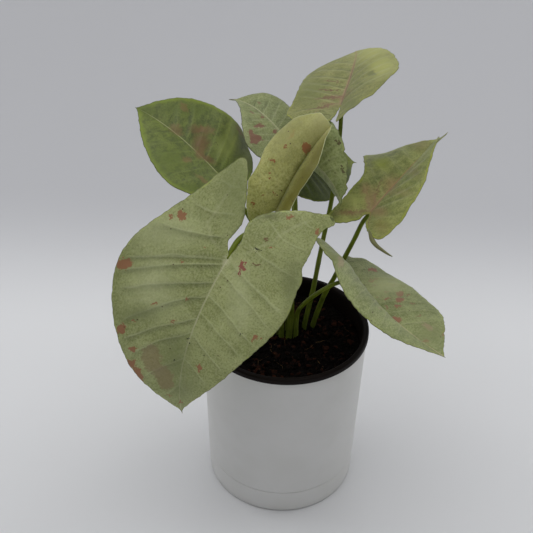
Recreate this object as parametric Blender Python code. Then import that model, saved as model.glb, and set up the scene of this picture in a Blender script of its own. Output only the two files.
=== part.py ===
"""Potted syngonium: nine arrow-shaped leaves on long stalks, rooted in the soil of a grow pot.

The grow pot hangs by its rim in a white cover pot, and the cover pot stands in a drip tray.
Metres, +Z up. The origin is the middle of the tray's flat underside. Sizes in the tables below
are in millimetres and angles in degrees, and become metres when a mesh is made.
"""

import math
from dataclasses import dataclass

import bpy
import numpy as np

MM = 0.001

# Turned parts
ROUND_SEGMENTS = 48
FIT_GAP = 0.3

# Drip tray
TRAY_BASE_RADIUS = 50.9
TRAY_RIM_RADIUS = 51.4
TRAY_HEIGHT = 19.0
TRAY_FLOOR = 2.0
TRAY_WALL = 1.75

# Cover pot
COVER_SEAM_RADIUS = 51.45
COVER_RIM_RADIUS = 53.95
COVER_TOP = 123.5
COVER_WALL = 1.8
COVER_FOOT_RADIUS = 49.3
COVER_FLOOR_THICKNESS = 2.0
COVER_DRAIN_COUNT = 5
COVER_DRAIN_RADIUS = 3.5
COVER_DRAIN_CIRCLE = 28.0

# Grow pot
GROW_RIM_RADIUS = 55.0
GROW_TOP = 125.0
GROW_SKIRT = 3.8
GROW_SKIRT_WALL = 0.75
GROW_FLANGE = 1.2
GROW_LIP_RADIUS = 51.5
GROW_WALL = 0.95
GROW_BASE = 13.0
GROW_BASE_RADIUS = 43.9
GROW_FLOOR_THICKNESS = 1.4
GROW_DRAIN_COUNT = 6
GROW_DRAIN_RADIUS = 4.0
GROW_DRAIN_CIRCLE = 30.0

# Soil
SOIL_TOP = 112.0
SOIL_RINGS = (7.0, 14.0, 21.0, 28.0, 35.0, 42.0)
SOIL_BUMP = 0.9
SOIL_SEED = 11

# Leaf blades
BLADE_THICKNESS = 0.8
NOTCH = 2.0
RIB_SEGMENTS = 10
LOBE_SEGMENTS = 6
OUTER_SEGMENTS = 3
INNER_SEGMENTS = 2
VEIN_SHARE = 0.4
VEIN_START = 0.35
TIP_SLENDER = 0.22
SHOULDER_REACH = 0.58
BEND_POWER = 1.5
SPINE_STEPS = 48
CURVE_STEPS = 12
RIPPLES = 3.0

# Leaf stalks
STALK_SIDES = 7
STALK_SEGMENTS = 16
TAIL_SEGMENTS = 10
STALK_FOOT = 87.0
HOLE_SIDES = 12


@dataclass(frozen=True)
class Half:
    """One side of a blade laid flat, measured from the stalk joint.

    width: from the midrib to the widest point, which lies widest ahead of the joint.
    shoulder: the half width between the widest point and the tip.
    hip, back, out: half width of the lobe's middle, its length behind the joint, and its tip's offset.
    gap, sinus: how far the lobe's inner edge stands off the midrib line, at its middle and near the joint.
    fold, cup, drop: angle up from the midrib, its lessening toward the margin, and the lobe's bend down.
    """

    width: float
    widest: float
    shoulder: float
    hip: float
    back: float
    out: float
    gap: float
    sinus: float
    fold: float
    cup: float
    drop: float


@dataclass(frozen=True)
class Leaf:
    """A blade and its stalk.

    joint: where the stalk meets the blade. heading and pitch: the way the midrib leaves it.
    droop, sweep: how far the midrib has bent down and sideways at the tip.
    roll, twist: tilt about the midrib at the joint, and what is added to it by the tip.
    opening: what is added to the fold by the tip. drip: length of the slender tip.
    wave: height of the margin's waves. knots: points on the stalk above the soil.
    foot_radius, neck_radius: the stalk at the soil and at the blade. under: stalk end below the joint.
    tail: points and radii along a narrow rolled end that a lobe is drawn out into.
    """

    name: str
    color: tuple
    joint: tuple
    heading: float
    pitch: float
    droop: float
    roll: float
    twist: float
    sweep: float
    length: float
    drip: float
    opening: float
    wave: float
    left: Half
    right: Half
    foot: tuple = (0.0, 0.0)
    knots: tuple = ()
    foot_radius: float = 1.8
    neck_radius: float = 1.3
    under: float = 1.1
    tail: tuple = ()


FRONT = Leaf(
    name="front", color=(0.30, 0.37, 0.17), joint=(-34.0, -42.5, 204.5), heading=-133.0, pitch=-48.0,
    droop=52.0, roll=-37.0, twist=4.0, sweep=-6.0, length=107.0, drip=3.5, opening=0.0, wave=1.0,
    left=Half(46.0, 15.0, 26.0, 37.0, 54.5, 36.0, 1.0, 2.0, 9.5, 23.0, 17.0),
    right=Half(54.5, 24.0, 32.0, 34.5, 46.0, 25.0, 3.5, 4.3, 14.0, 6.0, 27.0),
    foot=(2.8, 1.0),
    knots=((3.6, 0.0, 138.0), (0.8, -6.0, 172.5), (-9.0, -20.0, 199.0), (-20.0, -26.0, 212.0),
           (-27.5, -33.0, 212.0)),
    foot_radius=1.9, neck_radius=1.7, under=1.9,
)
LEFT = Leaf(
    name="left", color=(0.13, 0.20, 0.035), joint=(-43.5, 15.0, 226.5), heading=156.0, pitch=39.5,
    droop=23.0, roll=10.0, twist=-31.0, sweep=4.0, length=65.0, drip=1.0, opening=2.0, wave=0.6,
    left=Half(48.0, 12.0, 27.0, 37.0, 16.0, 10.0, 4.0, 2.0, 17.0, 20.5, 9.5),
    right=Half(48.0, 12.5, 26.5, 38.0, 15.0, 14.0, 5.0, 2.0, 15.5, 23.5, 4.0),
    foot=(-5.2, 6.4),
    knots=((-8.0, 8.0, 145.0), (-16.0, 11.0, 180.0), (-30.0, 13.0, 208.0)),
    under=1.64,
)
REAR = Leaf(
    name="rear", color=(0.15, 0.20, 0.07), joint=(-3.2, 50.0, 233.0), heading=139.0, pitch=34.0,
    droop=54.0, roll=5.0, twist=-10.0, sweep=1.5, length=54.0, drip=7.0, opening=6.0, wave=0.5,
    left=Half(31.5, 7.5, 10.5, 27.0, 14.0, 13.0, 5.0, 2.5, 13.0, 24.0, 10.0),
    right=Half(25.5, 8.0, 18.0, 27.0, 14.0, 13.0, 5.0, 2.5, 12.0, 31.0, 10.5),
    foot=(-2.2, 12.2),
    knots=((-3.0, 17.0, 145.0), (-3.0, 27.0, 185.0), (-2.0, 38.0, 212.0)),
    foot_radius=1.7, neck_radius=1.2, under=1.48,
)
FOLDED = Leaf(
    name="folded", color=(0.30, 0.31, 0.08), joint=(-6.7, -3.9, 216.0), heading=36.5, pitch=59.5,
    droop=13.5, roll=20.5, twist=-3.0, sweep=-20.0, length=58.5, drip=1.0, opening=-24.5, wave=0.5,
    left=Half(24.5, 14.0, 30.5, 18.0, 13.0, 10.5, 4.5, 2.5, 61.0, 76.0, 7.0),
    right=Half(18.5, 12.5, 18.0, 22.5, 15.0, 11.0, 4.5, 2.5, 60.0, 26.5, 9.5),
    foot=(-2.0, 2.4),
    knots=((-3.2, 2.2, 140.0), (-6.0, 1.0, 175.0), (-7.5, -1.0, 203.0)),
    foot_radius=1.9, neck_radius=1.4, under=1.8,
)
TOP = Leaf(
    name="top", color=(0.22, 0.27, 0.09), joint=(29.1, 36.0, 265.2), heading=75.5, pitch=15.0,
    droop=33.0, roll=-29.0, twist=9.0, sweep=15.0, length=80.0, drip=3.5, opening=-21.5, wave=0.8,
    left=Half(31.5, 9.0, 30.5, 32.5, 19.0, 7.5, 1.0, 0.8, 22.5, 10.0, 9.5),
    right=Half(37.5, 8.5, 20.0, 28.0, 19.0, 3.0, 1.0, 0.8, 28.5, 38.5, -1.0),
    foot=(12.9, 12.0),
    knots=((15.0, 12.5, 127.0), (17.6, 14.0, 142.7), (20.8, 17.0, 167.5), (23.3, 20.0, 185.1),
           (26.2, 24.0, 203.5), (28.2, 28.0, 228.4), (29.3, 32.0, 247.5)),
    neck_radius=1.25, under=1.18,
)
RIGHT = Leaf(
    name="right", color=(0.15, 0.20, 0.06), joint=(49.3, 0.0, 213.0), heading=43.0, pitch=32.0,
    droop=18.5, roll=-15.0, twist=-34.0, sweep=4.0, length=73.5, drip=8.0, opening=4.5, wave=0.8,
    left=Half(26.0, 19.0, 58.0, 23.5, 19.0, 22.0, 4.0, 2.5, 18.0, 9.0, 10.0),
    right=Half(35.0, 16.5, 22.5, 31.5, 18.5, 28.0, 5.0, 3.0, 18.0, 18.0, -7.5),
    foot=(19.0, 14.5),
    knots=((21.7, 14.0, 126.2), (25.6, 13.0, 141.3), (30.6, 11.0, 155.2), (36.3, 8.0, 174.0),
           (41.2, 5.0, 190.2), (45.4, 3.0, 204.3)),
    neck_radius=1.35,
    tail=((46.6, -18.2, 212.3, 0.5), (47.3, -25.5, 213.0, 1.1), (48.1, -30.0, 212.5, 1.4),
          (50.4, -33.5, 211.1, 1.2), (53.7, -36.0, 209.8, 0.9), (56.8, -38.0, 208.7, 0.6),
          (59.3, -39.0, 207.7, 0.25)),
    under=1.52,
)
LOW = Leaf(
    name="low", color=(0.27, 0.31, 0.18), joint=(40.0, -5.0, 166.0), heading=-50.5, pitch=-12.5,
    droop=-10.5, roll=-39.5, twist=40.5, sweep=8.0, length=79.5, drip=1.0, opening=-22.5, wave=0.5,
    left=Half(37.0, 11.0, 31.5, 30.5, 19.0, 13.5, 5.0, 3.0, 35.0, 25.0, 9.0),
    right=Half(37.0, 8.5, 24.0, 34.5, 22.0, 29.0, 9.0, 2.0, 49.0, 77.5, 3.5),
    foot=(7.3, 1.8),
    knots=((7.9, 1.2, 133.3), (12.4, -1.0, 143.3), (18.4, -4.0, 152.2), (27.2, -8.0, 162.7),
           (33.8, -9.0, 166.8)),
    foot_radius=1.5, under=1.47,
)
SHADED = Leaf(
    name="shaded", color=(0.10, 0.14, 0.06), joint=(7.5, 17.5, 239.0), heading=-33.5, pitch=-15.5,
    droop=64.0, roll=78.0, twist=8.5, sweep=3.5, length=39.0, drip=1.5, opening=-1.0, wave=0.4,
    left=Half(26.5, 3.5, 11.0, 20.0, 10.5, 10.0, 4.0, 2.5, -10.0, 28.0, 10.0),
    right=Half(12.5, 3.5, 12.0, 12.0, 8.0, 7.0, 3.5, 2.5, -27.0, 38.0, 10.0),
    foot=(1.8, 9.2),
    knots=((2.5, 11.0, 140.0), (5.0, 14.5, 182.0), (3.9, 20.5, 206.0), (3.0, 29.0, 226.0),
           (11.5, 25.5, 237.0)),
    foot_radius=1.7, neck_radius=1.2, under=1.8,
)
INNER = Leaf(
    name="inner", color=(0.035, 0.06, 0.01), joint=(6.3, 50.0, 213.4), heading=37.5, pitch=-3.5,
    droop=24.0, roll=25.0, twist=8.0, sweep=1.0, length=50.5, drip=4.0, opening=-2.0, wave=0.4,
    left=Half(27.0, 5.0, 18.0, 24.0, 16.0, 14.5, 6.0, 2.5, 10.5, 25.0, 10.0),
    right=Half(28.0, 4.5, 17.0, 23.5, 16.5, 15.0, 6.0, 2.5, 8.0, 25.5, 10.5),
    foot=(4.2, 14.4),
    knots=((3.5, 19.0, 140.0), (3.0, 31.0, 175.0), (3.5, 42.0, 198.0)),
    foot_radius=1.6, neck_radius=1.1, under=1.25,
)
LEAVES = (FRONT, LEFT, REAR, FOLDED, TOP, RIGHT, LOW, SHADED, INNER)

COVER_WHITE = (0.80, 0.80, 0.79)
GROW_BROWN = (0.020, 0.012, 0.010)
SOIL_BROWN = (0.012, 0.008, 0.006)
STALK_GREEN = (0.045, 0.075, 0.012)


def clear_scene():
    """Removes the objects of the startup scene."""
    for item in list(bpy.data.objects):
        bpy.data.objects.remove(item, do_unlink=True)


def new_material(name, color, roughness):
    """A plain Principled material."""
    material = bpy.data.materials.new(name)
    material.use_nodes = True
    shader = material.node_tree.nodes["Principled BSDF"]
    shader.inputs["Base Color"].default_value = (*color, 1.0)
    shader.inputs["Roughness"].default_value = roughness
    material.diffuse_color = (*color, 1.0)
    return material


def new_object(name, points, faces, material=None, smooth=True):
    """An object from points in millimetres and faces listed counter-clockwise from outside."""
    mesh = bpy.data.meshes.new(name)
    mesh.from_pydata([tuple(point) for point in np.asarray(points) * MM], [], faces)
    mesh.validate()
    item = bpy.data.objects.new(name, mesh)
    bpy.context.scene.collection.objects.link(item)
    if material is not None:
        mesh.materials.append(material)
    if smooth:
        mesh.polygons.foreach_set("use_smooth", [True] * len(mesh.polygons))
    return item


def turned(profile, segments=ROUND_SEGMENTS):
    """Points and faces of a profile of (radius, height) turned about Z.

    The profile runs outward along the bottom, up the outside and back inward, axis to axis.
    """
    points = []
    rings = []
    for radius, height in profile:
        if radius == 0.0:
            rings.append([len(points)] * segments)
            points.append((0.0, 0.0, height))
            continue
        rings.append(list(range(len(points), len(points) + segments)))
        for k in range(segments):
            angle = 2.0 * math.pi * k / segments
            points.append((radius * math.cos(angle), radius * math.sin(angle), height))
    faces = []
    for lower, upper in zip(rings, rings[1:]):
        for k in range(segments):
            following = (k + 1) % segments
            corners = (lower[k], lower[following], upper[following], upper[k])
            faces.append(tuple(dict.fromkeys(corners)))
    return points, faces


def cylinders(name, places, radius, bottom, top, sides):
    """One cutter object made of upright cylinders; radius is a number or one for each place."""
    points = []
    faces = []
    for i, (x, y) in enumerate(places):
        size = radius[i] if isinstance(radius, (list, tuple)) else radius
        start = len(points)
        for height in (bottom, top):
            for k in range(sides):
                angle = 2.0 * math.pi * k / sides
                points.append((x + size * math.cos(angle), y + size * math.sin(angle), height))
        for k in range(sides):
            following = (k + 1) % sides
            faces.append((start + k, start + following, start + sides + following, start + sides + k))
        faces.append(tuple(start + k for k in reversed(range(sides))))
        faces.append(tuple(start + sides + k for k in range(sides)))
    item = new_object(name, points, faces, smooth=False)
    item.hide_render = True
    item.display_type = "WIRE"
    return item


def cut(item, cutter):
    """Takes the cutter away from the object."""
    modifier = item.modifiers.new("Cut_" + cutter.name, "BOOLEAN")
    modifier.operation = "DIFFERENCE"
    modifier.solver = "EXACT"
    modifier.object = cutter


def ring_of_places(count, radius):
    """Evenly spaced places on a circle."""
    turn = 2.0 * math.pi / count
    return [(radius * math.cos(k * turn), radius * math.sin(k * turn)) for k in range(count)]


def shade_turned(item):
    """Smooth shading that keeps the corners of the profile sharp."""
    item.data.set_sharp_from_angle(angle=math.radians(35.0))


def make_drip_tray():
    """The shallow dish under the cover pot, flat below."""
    inner = TRAY_RIM_RADIUS - TRAY_WALL
    profile = [
        (0.0, 0.0),
        (TRAY_BASE_RADIUS - 2.0, 0.0),
        (TRAY_BASE_RADIUS - 0.6, 0.5),
        (TRAY_BASE_RADIUS, 1.9),
        (TRAY_RIM_RADIUS, TRAY_HEIGHT - 0.4),
        (TRAY_RIM_RADIUS - 0.3, TRAY_HEIGHT),
        (inner + 0.2, TRAY_HEIGHT),
        (inner, TRAY_HEIGHT - 0.3),
        (inner - 0.5, TRAY_FLOOR + 1.2),
        (inner - 1.5, TRAY_FLOOR),
        (0.0, TRAY_FLOOR),
    ]
    tray = new_object("drip_tray", *turned(profile), new_material("tray_white", COVER_WHITE, 0.4))
    shade_turned(tray)


def make_cover_pot():
    """The white outer pot. Its stepped-in foot stands in the tray and its shoulder covers the tray's rim."""
    bottom = TRAY_FLOOR + FIT_GAP
    seam = TRAY_HEIGHT + FIT_GAP
    floor = bottom + COVER_FLOOR_THICKNESS
    inner_rim = COVER_RIM_RADIUS - COVER_WALL
    inner_seam = COVER_SEAM_RADIUS - COVER_WALL
    inner_foot = COVER_FOOT_RADIUS - COVER_WALL
    profile = [
        (0.0, bottom),
        (COVER_FOOT_RADIUS - 1.8, bottom),
        (COVER_FOOT_RADIUS - 0.5, bottom + 1.3),
        (COVER_FOOT_RADIUS, seam),
        (COVER_SEAM_RADIUS - 0.2, seam),
        (COVER_SEAM_RADIUS, seam + 0.3),
        (COVER_RIM_RADIUS, COVER_TOP - 0.5),
        (COVER_RIM_RADIUS - 0.4, COVER_TOP),
        (inner_rim + 0.4, COVER_TOP),
        (inner_rim, COVER_TOP - 0.5),
        (inner_seam, seam + 2.4),
        (inner_foot, seam - 0.6),
        (inner_foot - 0.4, floor + 1.2),
        (inner_foot - 1.4, floor),
        (0.0, floor),
    ]
    pot = new_object("cover_pot", *turned(profile), new_material("cover_white", COVER_WHITE, 0.4))
    places = ring_of_places(COVER_DRAIN_COUNT, COVER_DRAIN_CIRCLE)
    cut(pot, cylinders("cover_drains", places, COVER_DRAIN_RADIUS, bottom - 1.0, floor + 1.0, HOLE_SIDES))
    shade_turned(pot)


def grow_inner_radius(height):
    """Inner radius of the grow pot's sloping wall."""
    low = GROW_BASE + GROW_FLOOR_THICKNESS + 1.2
    high = GROW_TOP - 3.0
    share = (height - low) / (high - low)
    return (GROW_BASE_RADIUS - GROW_WALL) + share * (GROW_LIP_RADIUS - 0.7 - GROW_BASE_RADIUS + GROW_WALL)


def make_grow_pot():
    """The brown inner pot. Its flange rests on the cover pot's edge and its skirt hangs outside it."""
    floor = GROW_BASE + GROW_FLOOR_THICKNESS
    flange = GROW_TOP - GROW_FLANGE
    skirt_inner = GROW_RIM_RADIUS - GROW_SKIRT_WALL
    wall_low = floor + 1.2
    wall_high = GROW_TOP - 3.0
    profile = [
        (0.0, GROW_BASE),
        (GROW_BASE_RADIUS - 1.3, GROW_BASE),
        (GROW_BASE_RADIUS, GROW_BASE + 1.2),
        (grow_inner_radius(wall_high) + GROW_WALL, wall_high),
        (grow_inner_radius(wall_high) + GROW_WALL, flange),
        (skirt_inner, flange),
        (skirt_inner, GROW_TOP - GROW_SKIRT),
        (GROW_RIM_RADIUS, GROW_TOP - GROW_SKIRT),
        (GROW_RIM_RADIUS, GROW_TOP - 0.8),
        (GROW_RIM_RADIUS - 0.7, GROW_TOP),
        (GROW_LIP_RADIUS + 0.8, GROW_TOP),
        (GROW_LIP_RADIUS, GROW_TOP - 0.7),
        (grow_inner_radius(wall_high), wall_high),
        (grow_inner_radius(wall_low), wall_low),
        (grow_inner_radius(wall_low) - 1.0, floor),
        (0.0, floor),
    ]
    pot = new_object("grow_pot", *turned(profile), new_material("grow_brown", GROW_BROWN, 0.45))
    places = ring_of_places(GROW_DRAIN_COUNT, GROW_DRAIN_CIRCLE)
    cut(pot, cylinders("grow_drains", places, GROW_DRAIN_RADIUS, GROW_BASE - 1.0, floor + 1.0, HOLE_SIDES))
    shade_turned(pot)


def make_soil():
    """The soil that fills the grow pot, uneven on top, with a plain hole for each stalk."""
    chance = np.random.default_rng(SOIL_SEED)
    floor = GROW_BASE + GROW_FLOOR_THICKNESS + FIT_GAP
    edge = grow_inner_radius(SOIL_TOP) - FIT_GAP
    profile = [
        (0.0, floor),
        (grow_inner_radius(floor + 1.2) - FIT_GAP - 1.2, floor),
        (grow_inner_radius(floor + 1.5) - FIT_GAP, floor + 1.5),
        (edge, SOIL_TOP),
    ]
    profile += [(radius, SOIL_TOP) for radius in reversed(SOIL_RINGS)]
    profile.append((0.0, SOIL_TOP))
    points, faces = turned(profile)
    points = np.array(points)
    across = np.hypot(points[:, 0], points[:, 1])
    loose = (points[:, 2] == SOIL_TOP) & (across > SOIL_RINGS[2] + 1.0) & (across < edge - 1.0)
    points[loose, 2] += chance.uniform(-SOIL_BUMP, SOIL_BUMP, loose.sum())
    soil = new_object("soil", points, faces, new_material("soil_brown", SOIL_BROWN, 0.95), smooth=False)
    places = [leaf.foot for leaf in LEAVES]
    radii = [(leaf.foot_radius + FIT_GAP) / math.cos(math.pi / HOLE_SIDES) for leaf in LEAVES]
    cut(soil, cylinders("stalk_holes", places, radii, STALK_FOOT - FIT_GAP, SOIL_TOP + 5.0, HOLE_SIDES))


def smooth_line(points, steps=CURVE_STEPS):
    """A centripetal Catmull-Rom line through the points."""
    knots = np.array(points, float)
    ends = np.vstack([2 * knots[0] - knots[1], knots, 2 * knots[-1] - knots[-2]])
    line = []
    for i in range(1, len(ends) - 2):
        p0, p1, p2, p3 = ends[i - 1:i + 3]
        t1 = np.linalg.norm(p1 - p0) ** 0.5
        t2 = t1 + np.linalg.norm(p2 - p1) ** 0.5
        t3 = t2 + np.linalg.norm(p3 - p2) ** 0.5
        t = np.linspace(t1, t2, steps, endpoint=False)[:, None]
        a1 = (t1 - t) / t1 * p0 + t / t1 * p1
        a2 = (t2 - t) / (t2 - t1) * p1 + (t - t1) / (t2 - t1) * p2
        a3 = (t3 - t) / (t3 - t2) * p2 + (t - t2) / (t3 - t2) * p3
        b1 = (t2 - t) / t2 * a1 + t / t2 * a2
        b2 = (t3 - t) / (t3 - t1) * a2 + (t - t1) / (t3 - t1) * a3
        line.append((t2 - t) / (t2 - t1) * b1 + (t - t1) / (t2 - t1) * b2)
    line.append(knots[-1:])
    return np.vstack(line)


def resample(line, count):
    """The line as count equal steps."""
    steps = np.linalg.norm(np.diff(line, axis=0), axis=1)
    reached = np.concatenate([[0.0], np.cumsum(steps)])
    wanted = np.linspace(0.0, reached[-1], count + 1)
    return np.stack([np.interp(wanted, reached, line[:, k]) for k in range(line.shape[1])], -1)


def margin(leaf, half):
    """The edge of one half laid flat, as (ahead, aside): tip to widest, widest to lobe tip, lobe tip to notch."""
    reach = leaf.length - half.widest
    front = [
        (leaf.length, 0.0),
        (leaf.length - leaf.drip, TIP_SLENDER * leaf.drip),
        (half.widest + SHOULDER_REACH * reach, half.shoulder),
        (half.widest, half.width),
    ]
    rear = [(-0.5 * half.back, half.hip), (-half.back, half.out)]
    inner = [(-0.5 * half.back, half.gap), (-0.15 * half.back - NOTCH, half.sinus), (-NOTCH, 0.0)]
    line = smooth_line(front + rear + inner)
    widest = (len(front) - 1) * CURVE_STEPS
    lobe_tip = widest + len(rear) * CURVE_STEPS
    return line[:widest + 1], line[widest:lobe_tip + 1], line[lobe_tip:]


def half_rows(leaf, half):
    """Rows of flat points across one half, from the midrib out, then across its lobe from the inner edge out."""
    front, rear, inner = margin(leaf, half)
    outward = np.linspace(0.0, 1.0, OUTER_SEGMENTS + 1)[:, None]
    inward = np.linspace(0.0, 1.0, INNER_SEGMENTS + 1)[:-1, None]
    rows = []
    for edge, ahead in zip(resample(front, RIB_SEGMENTS), np.linspace(leaf.length, 0.0, RIB_SEGMENTS + 1)):
        rib = np.array([ahead, 0.0])
        rows.append(rib + outward * (edge - rib))
    lobe_rows = []
    edges = zip(resample(rear, LOBE_SEGMENTS), resample(inner[::-1], LOBE_SEGMENTS))
    for i, (edge, inside) in enumerate(edges):
        share = VEIN_SHARE * min(1.0, i / LOBE_SEGMENTS / VEIN_START)
        vein = inside + share * (edge - inside) if i else np.zeros(2)
        lobe_rows.append(np.vstack([inside + inward * (vein - inside), vein + outward * (edge - vein)]))
    return rows, lobe_rows


def midrib_frame(leaf, half, ahead):
    """Points on the midrib line, with its direction, its leftward direction and the blade's normal."""
    ahead = np.asarray(ahead, float)
    before = np.linspace(0.0, leaf.length, SPINE_STEPS)
    behind = np.linspace(0.0, half.back * 1.1 + NOTCH + 1.0, SPINE_STEPS)

    def angles(distance):
        fore = np.clip(distance / leaf.length, 0.0, None) ** BEND_POWER
        aft = np.clip(-distance / half.back, 0.0, None) ** BEND_POWER
        pitch = np.radians(leaf.pitch - leaf.droop * fore + half.drop * aft)
        return pitch, np.radians(leaf.heading + leaf.sweep * fore)

    def direction(distance):
        pitch, heading = angles(distance)
        flat = np.cos(pitch)
        return np.stack([flat * np.cos(heading), flat * np.sin(heading), np.sin(pitch)], -1)

    def path(distances):
        along = direction(distances)
        steps = (along[1:] + along[:-1]) / 2.0 * np.diff(distances)[:, None]
        return np.vstack([np.zeros(3), np.cumsum(steps, 0)])

    fore_path = path(before)
    aft_path = path(-behind)
    fore = np.stack([np.interp(ahead, before, fore_path[:, k]) for k in range(3)], -1)
    aft = np.stack([np.interp(-ahead, behind, aft_path[:, k]) for k in range(3)], -1)
    place = np.where((ahead >= 0.0)[..., None], fore, aft) + np.array(leaf.joint)
    along = direction(ahead)
    heading = angles(ahead)[1]
    level = np.stack([-np.sin(heading), np.cos(heading), np.zeros_like(heading)], -1)
    rise = np.cross(along, level)
    roll = np.radians(leaf.roll + leaf.twist * np.clip(ahead / leaf.length, 0.0, 1.0))[..., None]
    aside = np.cos(roll) * level + np.sin(roll) * rise
    return place, along, aside, np.cross(along, aside)


def lifted(leaf, flat, side):
    """Flat points of one half placed in space. side is 1 for the left half and -1 for the right."""
    half = leaf.left if side > 0 else leaf.right
    ahead, out = np.asarray(flat, float).T
    place, _, aside, normal = midrib_frame(leaf, half, ahead)
    fold = np.radians(half.fold + leaf.opening * np.clip(ahead / leaf.length, 0.0, 1.0))
    bend = math.radians(half.cup) / half.width
    across = (np.sin(fold) - np.sin(fold - bend * out)) / bend
    rise = (np.cos(fold - bend * out) - np.cos(fold)) / bend
    wave = leaf.wave * (out / half.width) ** 2
    rise = rise + wave * np.sin(2.0 * RIPPLES * np.arctan2(out, ahead) + side)
    return place + side * across[:, None] * aside + rise[:, None] * normal


def added(points, more):
    """Appends points and gives back their numbers."""
    start = len(points)
    points.extend(more)
    return list(range(start, len(points)))


def strip_faces(grid, side):
    """Triangles between neighbouring rows of point numbers, facing the blade's upper side."""
    faces = []
    for row, following in zip(grid, grid[1:]):
        for j in range(len(row) - 1):
            corners = (row[j], following[j], following[j + 1], row[j + 1])
            for triangle in ((corners[0], corners[1], corners[2]), (corners[0], corners[2], corners[3])):
                if len(set(triangle)) == 3:
                    faces.append(triangle if side > 0 else triangle[::-1])
    return faces


def blade_sheet(leaf):
    """Points and triangles of the blade's middle surface, both halves sharing the midrib."""
    to_notch = np.linspace(0.0, -NOTCH, INNER_SEGMENTS + 1)[1:]
    ahead = np.append(np.linspace(leaf.length, 0.0, RIB_SEGMENTS + 1), to_notch)
    points = list(lifted(leaf, np.stack([ahead, np.zeros_like(ahead)], -1), 1))
    faces = []
    for side, half in ((1, leaf.left), (-1, leaf.right)):
        rows, lobe_rows = half_rows(leaf, half)
        grid = [[0] * len(rows[0])]
        for i, row in enumerate(rows[1:], 1):
            grid.append([i] + added(points, lifted(leaf, row[1:], side)))
        faces += strip_faces(grid, side)
        from_notch = [RIB_SEGMENTS + i for i in range(INNER_SEGMENTS, 0, -1)]
        lobe_grid = [from_notch + grid[-1]]
        for row in lobe_rows[1:-1]:
            lobe_grid.append(added(points, lifted(leaf, row, side)))
        last = lobe_rows[-1]
        lobe_grid.append(added(points, lifted(leaf, last[:1], side)) * len(last))
        faces += strip_faces(lobe_grid, side)
    return points, faces


def make_blade(leaf):
    """The blade as a thin solid, with its tail grown on."""
    name = "blade_" + leaf.name
    points, faces = blade_sheet(leaf)
    blade = new_object(name, points, faces, new_material(name + "_green", leaf.color, 0.5))
    modifier = blade.modifiers.new("Thickness", "SOLIDIFY")
    modifier.thickness = BLADE_THICKNESS * MM
    modifier.offset = 0.0
    modifier.use_even_offset = True
    modifier.use_quality_normals = True
    if leaf.tail:
        line = resample(smooth_line(leaf.tail), TAIL_SEGMENTS)
        tail = new_object(name + "_tail", *tube(line[:, :3], line[:, 3], STALK_SIDES))
        tail.hide_render = True
        tail.display_type = "WIRE"
        joined = blade.modifiers.new("Tail", "BOOLEAN")
        joined.operation = "UNION"
        joined.solver = "EXACT"
        joined.object = tail


def stalk_line(leaf):
    """The stalk's centre line, from its foot in the soil to its end just below the blade."""
    joint, _, _, normal = midrib_frame(leaf, leaf.left, [0.0])
    end = joint[0] - normal[0] * leaf.under
    x, y = leaf.foot
    buried = [(x, y, STALK_FOOT), (x, y, SOIL_TOP - 6.0), (x, y, SOIL_TOP + 1.0)]
    knots = [*buried, *leaf.knots, tuple(end)]
    return resample(smooth_line(knots), STALK_SEGMENTS)


def tube(line, radii, sides):
    """Points and faces of a round bar along a line, closed at both ends."""
    direction = np.gradient(line, axis=0)
    direction /= np.linalg.norm(direction, axis=1)[:, None]
    upright = np.array([1.0, 0.0, 0.0])
    points = []
    for place, along, radius in zip(line, direction, radii):
        upright = upright - along * (upright @ along)
        upright /= np.linalg.norm(upright)
        sideways = np.cross(along, upright)
        for k in range(sides):
            angle = 2.0 * math.pi * k / sides
            points.append(place + radius * (math.cos(angle) * upright + math.sin(angle) * sideways))
    faces = [tuple(reversed(range(sides)))]
    for i in range(len(line) - 1):
        for k in range(sides):
            a = i * sides + k
            b = i * sides + (k + 1) % sides
            faces.append((a, b, b + sides, a + sides))
    last = (len(line) - 1) * sides
    faces.append(tuple(last + k for k in range(sides)))
    return points, faces


def make_stalk(leaf):
    """The leaf stalk, slender toward the blade."""
    line = stalk_line(leaf)
    radii = np.linspace(leaf.foot_radius, leaf.neck_radius, len(line))
    radii[-1] = 0.75 * leaf.neck_radius
    name = "stalk_" + leaf.name
    new_object(name, *tube(line, radii, STALK_SIDES), new_material(name + "_green", STALK_GREEN, 0.4))


def main():
    """Builds every part."""
    clear_scene()
    make_drip_tray()
    make_cover_pot()
    make_grow_pot()
    make_soil()
    for leaf in LEAVES:
        make_stalk(leaf)
        make_blade(leaf)


main()
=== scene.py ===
"""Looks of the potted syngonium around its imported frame.

Every leaf blade, every stalk, the soil, both pots and the tray get a finer piece that keeps the form of its plain
solid. Lengths are millimetres and angles degrees, apart from the studio's lengths, which are metres.
"""

import logging
import math
from dataclasses import dataclass
from enum import Enum

import bmesh
import bpy
import numpy as np
from mathutils import Matrix, Vector


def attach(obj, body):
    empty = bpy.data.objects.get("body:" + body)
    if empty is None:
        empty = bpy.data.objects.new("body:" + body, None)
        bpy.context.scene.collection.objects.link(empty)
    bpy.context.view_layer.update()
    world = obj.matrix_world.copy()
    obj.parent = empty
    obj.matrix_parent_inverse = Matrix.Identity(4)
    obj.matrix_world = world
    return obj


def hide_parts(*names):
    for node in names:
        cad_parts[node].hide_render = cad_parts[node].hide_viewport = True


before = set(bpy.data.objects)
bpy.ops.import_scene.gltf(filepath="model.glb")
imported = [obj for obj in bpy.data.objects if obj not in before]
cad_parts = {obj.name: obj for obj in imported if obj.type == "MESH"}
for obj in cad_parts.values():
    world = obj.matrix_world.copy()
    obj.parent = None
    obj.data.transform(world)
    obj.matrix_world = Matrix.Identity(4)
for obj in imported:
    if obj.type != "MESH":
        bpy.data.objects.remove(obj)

log = logging.getLogger("syngonium")
Socket = bpy.types.NodeSocket
Material = bpy.types.Material

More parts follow.
